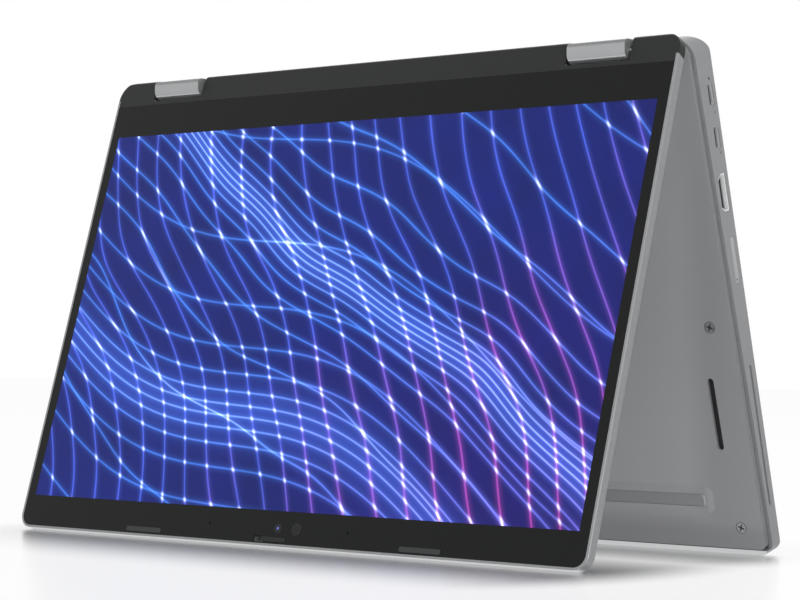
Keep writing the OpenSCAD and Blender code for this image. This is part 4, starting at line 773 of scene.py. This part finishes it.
# %% Camera windows
LENS_Y = 194.1
RING_HALF = 0.1
LENSES = (
    {"x": 0.4, "ring": 1.45, "gleam": 0.62, "color": srgb(96, 104, 186)},
    {"x": 10.4, "ring": 1.9, "gleam": 0.5, "color": srgb(34, 30, 36)},
)


def lens_finish():
    """Nearly black glass, a fine ring, and a painted blue gleam in the middle of the camera's lens."""
    material = finish("lens_glass", srgb(15, 16, 20), 0.16, grain=9000.0, bump=0.0, tone=0.02,
                      specular=0.25)
    tree = material.node_tree
    shader = tree.nodes["Principled BSDF"]
    parts = on_plane(tree, lid_plane)
    for lens in LENSES:
        across = calc(tree, "SUBTRACT", parts["X"], lens["x"])
        along = calc(tree, "SUBTRACT", parts["Y"], LENS_Y)
        radius = calc(tree, "SQRT", calc(tree, "MULTIPLY_ADD", across, across,
                                         calc(tree, "MULTIPLY", along, along)))
        recolor(tree, shader, within(tree, radius, lens["ring"], RING_HALF), srgb(44, 45, 48))
        # A disc in the middle of each window: on the camera's lens a painted blue gleam, on the light sensor
        # a dark disc.
        recolor(tree, shader, calc(tree, "LESS_THAN", radius, lens["gleam"]), lens["color"])
    return material


wear(lens_finish(), "camera_windows")

# %% [markdown]
# ## Key legends
# The letters are print, only skin deep, so they are flat meshes a hair above the caps. The keys
# are laid out in units of one pitch from the user's left, row by row, exactly as the caps are.
# Each row's print is one mesh, and it rides on the row's body, so it travels down with the keys.

# %% Layout of the keyboard
KEY_PITCH = 18.3
HALF_WIDTH_KEYS = 7.5  # from the keyboard's edge to its middle, in pitches
ROW_Y = {"function": 26.9, "number": 41.55, "upper": 59.45, "home": 77.35, "lower": 95.25,
         "modifier": 113.15}


def single(words):
    """Keys of one pitch each."""
    return [(1, text) for text in words]


# Each row: where it lies, where it starts in pitches from the left, and its keys from there on.
KEY_ROWS = {
    "function_keys": [("function", 0.0, single(
        "esc f1 f2 f3 f4 f5 f6 f7 f8 f9 f10 f11 f12 del".split()))],
    "number_keys": [("number", 0.0, single("`1234567890-=") + [(2, "back")])],
    "upper_letter_keys": [("upper", 0.0, [(1.5, "tab")] + single("QWERTYUIOP[]") + [(1.5, "/")])],
    "home_letter_keys": [("home", 0.0, [(1.75, "caps")] + single("ASDFGHJKL;'"))],
    "lower_letter_keys": [("lower", 2.25, single("ZXCVBNM,./"))],
    "enter_key": [("home", 12.75, [(2.25, "enter")])],
    "modifier_keys": [("modifier", 0.0, single("ctrl fn sys alt".split())),
                      ("modifier", 9.0, single("alt menu ctrl".split()))],
    "shift_keys": [("lower", 0.0, [(2.25, "shift")]), ("lower", 12.25, [(2.75, "shift")])],
}
body_of = {node: body for body, members in frame["record"]["behaviour"]["bodies"].items()
           for node in members}
print("nodes with print:", len(KEY_ROWS))

# %% [markdown]
# Letters come from Blender's own font as a curve, which is turned into a flat mesh and then
# thrown away. The caps' top plane carries them: x runs to the user's left and y to the user, so
# both signs turn round when a word is put in its place.

# %% Letters as flat meshes
KEY_TOP = 7.1
PRINT_RISE = 0.03
LETTER_SIZE = 4.6
WORD_SIZE = 2.9


def letter_outline(text, size):
    """Vertices and faces of one word, centred, in the units of size."""
    curve = bpy.data.curves.new("letters", "FONT")
    curve.body = text
    curve.size = size
    curve.align_x = "CENTER"
    curve.align_y = "CENTER"
    curve.resolution_u = 3
    holder = bpy.data.objects.new("letters", curve)
    bpy.context.scene.collection.objects.link(holder)
    bpy.context.view_layer.update()
    drawn = holder.evaluated_get(bpy.context.evaluated_depsgraph_get())
    mesh = bpy.data.meshes.new_from_object(drawn)
    outline = ([vertex.co.copy() for vertex in mesh.vertices],
               [tuple(face.vertices) for face in mesh.polygons])
    bpy.data.objects.remove(holder)
    bpy.data.curves.remove(curve)
    bpy.data.meshes.remove(mesh)
    return outline


def new_piece(name, points, faces, material):
    """A mesh object in the room, from points on the base plane in millimetres."""
    mesh = bpy.data.meshes.new(name)
    mesh.from_pydata([base_plane @ Vector(point) for point in points], [], faces)
    mesh.materials.append(material)
    piece = bpy.data.objects.new(name, mesh)
    bpy.context.scene.collection.objects.link(piece)
    return piece


print("print lies", PRINT_RISE, "mm above the caps")

# %% Print on the rows of keys
key_print = finish("key_print", srgb(206, 208, 210), 0.55, grain=5000.0, bump=0.05, tone=0.05)


def print_rows(node, rows, body):
    """One mesh with every word on a node's keycaps."""
    points, faces = [], []
    for row, start, keys in rows:
        done = start
        for units, text in keys:
            across = (HALF_WIDTH_KEYS - done - units / 2) * KEY_PITCH
            done += units
            size = LETTER_SIZE if len(text) == 1 else WORD_SIZE
            outline, word_faces = letter_outline(text, size)
            first = len(points)
            points += [(across - co.x, ROW_Y[row] - co.y, KEY_TOP + PRINT_RISE) for co in outline]
            faces += [tuple(index + first for index in face) for face in word_faces]
    piece = new_piece("print_" + node, points, faces, key_print)
    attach(piece, body)
    return piece


printed = [print_rows(node, rows, body_of[node]) for node, rows in KEY_ROWS.items()]
print("pieces of print:", len(printed))

# %% [markdown]
# ## Arrows and the power mark
# Four arrowheads, and a ring with a bar through its opening. No font is needed for these: each is
# a closed row of points, which makes one flat face.

# %% Marks drawn as rings of points
ARROW_ROWS = (109.15, 117.15)
POWER_RING = (1.35, 1.65)
RING_OPENING = math.radians(35)


def flat_piece(name, shapes, body):
    """Flat print on a key, each shape a closed list of (x, y) in millimetres."""
    points, faces = [], []
    for shape in shapes:
        first = len(points)
        points += [(x, y, KEY_TOP + PRINT_RISE) for x, y in shape]
        faces.append(tuple(range(first, len(points))))
    piece = new_piece(name, points, faces, key_print)
    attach(piece, body)
    return piece


def key_x(units):
    """Where a key's middle lies, from the user's left in pitches."""
    return (HALF_WIDTH_KEYS - units) * KEY_PITCH


print("power key at x", round(key_x(14.5), 2), "mm")

# %% Arrowheads
def arrowhead(x, y, way):
    """A triangle 1.8 mm long and 2.4 mm wide that points along way."""
    tip = (x + 1.1 * way[0], y + 1.1 * way[1])
    foot = (x - 0.7 * way[0], y - 0.7 * way[1])
    side = (1.2 * way[1], -1.2 * way[0])
    return [tip, (foot[0] + side[0], foot[1] + side[1]), (foot[0] - side[0], foot[1] - side[1])]


left, middle, right = key_x(12.5), key_x(13.5), key_x(14.5)
upper, lower = ARROW_ROWS
arrows = [arrowhead(middle, upper, (0, -1)), arrowhead(middle, lower, (0, 1)),
          arrowhead(left, lower, (1, 0)), arrowhead(right, lower, (-1, 0))]
flat_piece("print_arrow_keys", arrows, body_of["arrow_keys"])
print("arrowheads:", len(arrows))

# %% Power mark
def arc_band(x, y, inner, outer, start, end, steps=28):
    """A band round (x, y), from angle start to end."""
    angles = [start + (end - start) * step / steps for step in range(steps + 1)]
    outer_line = [(x + outer * math.sin(a), y - outer * math.cos(a)) for a in angles]
    inner_line = [(x + inner * math.sin(a), y - inner * math.cos(a)) for a in reversed(angles)]
    return outer_line + inner_line


def bar(x, start, end, half):
    return [(x - half, start), (x + half, start), (x + half, end), (x - half, end)]


power_mark = [arc_band(right, ROW_Y["function"], *POWER_RING, RING_OPENING,
                       math.tau - RING_OPENING),
              bar(right, ROW_Y["function"] - 2.0, ROW_Y["function"] - 0.2, 0.16)]
flat_piece("print_power", power_mark, body_of["power_button"])
print("points in the power mark:", sum(len(shape) for shape in power_mark))

# %% [markdown]
# ## Small lights in the side wall
# A status light sits in a hole behind the first port, and a charging light beside each of the two
# type-C ports. A real one is a drop of clear plastic, flush with the wall. A dome of a few rings,
# sunk a little into the wall, gives it an edge to catch the light.

# %% Lenses in the side wall
SIDE_WALL = 152.85
LENS_SINK = 0.02
LENS_RINGS = 5
LENS_STEPS = 24


def dome(y, z, radius, proud):
    """Points and faces of a low dome on the side wall, in rings from its rim to its top."""
    points, faces = [], []
    for ring in range(LENS_RINGS):
        lean = math.pi / 2 * ring / LENS_RINGS
        for step in range(LENS_STEPS):
            turn = math.tau * step / LENS_STEPS
            points.append((SIDE_WALL - LENS_SINK + proud * math.sin(lean),
                           y + radius * math.cos(lean) * math.cos(turn),
                           z + radius * math.cos(lean) * math.sin(turn)))
    points.append((SIDE_WALL - LENS_SINK + proud, y, z))
    for first in range(0, (LENS_RINGS - 1) * LENS_STEPS, LENS_STEPS):
        for step in range(LENS_STEPS):
            after = (step + 1) % LENS_STEPS
            faces.append((first + step, first + after, first + LENS_STEPS + after,
                          first + LENS_STEPS + step))
    last = (LENS_RINGS - 1) * LENS_STEPS
    faces += [(last + step, last + (step + 1) % LENS_STEPS, LENS_RINGS * LENS_STEPS)
              for step in range(LENS_STEPS)]
    return points, faces


def wall_lens(name, y, z, radius, proud, material):
    piece = new_piece(name, *dome(y, z, radius, proud), material)
    piece.data.shade_smooth()
    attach(piece, "base")
    return piece


print("a lens has", LENS_RINGS * LENS_STEPS + 1, "points")

# %% The three lenses
dark_lens = finish("dark_lens", srgb(40, 41, 43), 0.25, grain=6000.0, bump=0.02, tone=0.04)
charge_lens = finish("charge_lens", srgb(66, 67, 69), 0.3, grain=6000.0, bump=0.02, tone=0.04)
lenses = [wall_lens("status_lens", 12.2, 3.3, 0.62, 0.06, dark_lens),
          wall_lens("charge_lens_rear", 25.3, 4.3, 0.55, 0.05, charge_lens),
          wall_lens("charge_lens_front", 40.9, 4.3, 0.55, 0.05, charge_lens)]
print("lenses:", [lens.name for lens in lenses])

# %% [markdown]
# ## The floor
# A plain pale floor. Close to the feet it mirrors softly, and further off it fades to the white
# of the room, so that no horizon shows. The fade follows the distance from the two lines on which
# the tent stands. The white is only for the eye and for reflections: light that reaches the
# laptop by way of the floor comes from the plain surface.

# %% Floor
FLOOR_HALF = 6.0
FEET_Y = (-0.0609, 0.0585)
FOOT_HALF = 0.148
FADE_LENGTH = 0.1
END_STEEPNESS = 5.0
MIRROR_SHARE = 0.78
WHITE_SHARE = 0.86
GLOSSY_WHITE = 0.85


def distance_from_feet(tree):
    """Metres from the nearer foot line, counted faster past its ends."""
    place = add(tree, "ShaderNodeTexCoord").outputs["Object"]
    parts = add(tree, "ShaderNodeSeparateXYZ", {0: place}).outputs
    past_end = calc(tree, "MAXIMUM",
                    calc(tree, "SUBTRACT", calc(tree, "ABSOLUTE", parts["X"]), FOOT_HALF), 0.0)
    past_end = calc(tree, "MULTIPLY", calc(tree, "MULTIPLY", past_end, past_end), END_STEEPNESS)
    away = 1.0
    for foot in FEET_Y:
        off = calc(tree, "SUBTRACT", parts["Y"], foot)
        away = calc(tree, "MINIMUM", away,
                    calc(tree, "SQRT", calc(tree, "MULTIPLY_ADD", off, off, past_end)))
    return away


def pale_floor():
    """Satin white. Beside the feet it mirrors softly; further off it is as white as the room."""
    material = bpy.data.materials.new("pale_floor")
    material.use_nodes = True
    tree = material.node_tree
    ground = tree.nodes["Principled BSDF"]
    ground.inputs["Base Color"].default_value = (0.45, 0.45, 0.45, 1)
    ground.inputs["Roughness"].default_value = 0.9
    ground.inputs["Specular IOR Level"].default_value = 0.0
    mirror = add(tree, "ShaderNodeBsdfAnisotropic", {"Color": (1, 1, 1, 1), "Roughness": 0.22})
    surface = add(tree, "ShaderNodeMixShader",
                  {0: MIRROR_SHARE, 1: ground.outputs[0], 2: mirror.outputs[0]})
    white = add(tree, "ShaderNodeEmission", {"Color": (1, 1, 1, 1), "Strength": 1.0})
    fade = smooth_step(tree, distance_from_feet(tree), 0.0, FADE_LENGTH)
    rays = add(tree, "ShaderNodeLightPath").outputs
    share = calc(tree, "MULTIPLY", calc(tree, "MULTIPLY", fade, WHITE_SHARE),
                 rays["Is Camera Ray"])
    share = calc(tree, "MULTIPLY_ADD", rays["Is Glossy Ray"], GLOSSY_WHITE, share, clamp=True)
    blend = add(tree, "ShaderNodeMixShader",
                {0: share, 1: surface.outputs[0], 2: white.outputs[0]})
    tree.links.new(blend.outputs[0], tree.nodes["Material Output"].inputs["Surface"])
    return material


floor_mesh = bpy.data.meshes.new("floor")
corners = [(-FLOOR_HALF, -FLOOR_HALF, 0), (FLOOR_HALF, -FLOOR_HALF, 0),
           (FLOOR_HALF, FLOOR_HALF, 0), (-FLOOR_HALF, FLOOR_HALF, 0)]
floor_mesh.from_pydata(corners, [], [(0, 1, 2, 3)])
floor = bpy.data.objects.new("floor", floor_mesh)
floor.data.materials.append(pale_floor())
bpy.context.scene.collection.objects.link(floor)
print("floor:", 2 * FLOOR_HALF, "m square")

# %% [markdown]
# ## The light
# Soft light from large panels, which gives wide, quiet highlights. The world is white for the
# camera and for mirror-like surfaces, and dimmer for everything that it lights, so that the paint
# keeps its own colour.

# %% World
ROOM_LIGHT = 0.44
world = bpy.data.worlds.new("studio")
bpy.context.scene.world = world
world.use_nodes = True
sky = world.node_tree
rays = add(sky, "ShaderNodeLightPath").outputs
seen = calc(sky, "MAXIMUM", rays["Is Camera Ray"], rays["Is Glossy Ray"])
seen = calc(sky, "MAXIMUM", seen, rays["Is Transmission Ray"])
background = sky.nodes["Background"]
background.inputs["Color"].default_value = (1, 1, 1, 1)
sky.links.new(calc(sky, "MULTIPLY_ADD", seen, 1.0 - ROOM_LIGHT, ROOM_LIGHT),
              background.inputs["Strength"])
print("the room lights the laptop at", ROOM_LIGHT)

# %% Panels of light
LOOK_AT = (0, 0, 0.1)


def panel_light(name, place, size, power):
    lamp = bpy.data.lights.new(name, "AREA")
    lamp.shape = "RECTANGLE"
    lamp.size, lamp.size_y = size
    lamp.energy = power
    panel = bpy.data.objects.new(name, lamp)
    panel.location = place
    away = Vector(place) - Vector(LOOK_AT)
    panel.rotation_euler = away.to_track_quat("Z", "Y").to_euler()
    bpy.context.scene.collection.objects.link(panel)
    return panel


panels = [panel_light("camera_panel", (2.3, -1.6, 0.35), (0.9, 0.9), 62.0),
          panel_light("top_panel", (0.3, -0.6, 2.4), (1.8, 1.4), 11.0),
          panel_light("back_panel", (-0.8, 2.0, 1.6), (1.6, 1.0), 13.0)]
bpy.context.scene.view_settings.view_transform = "Standard"
print("panels:", [panel.name for panel in panels])
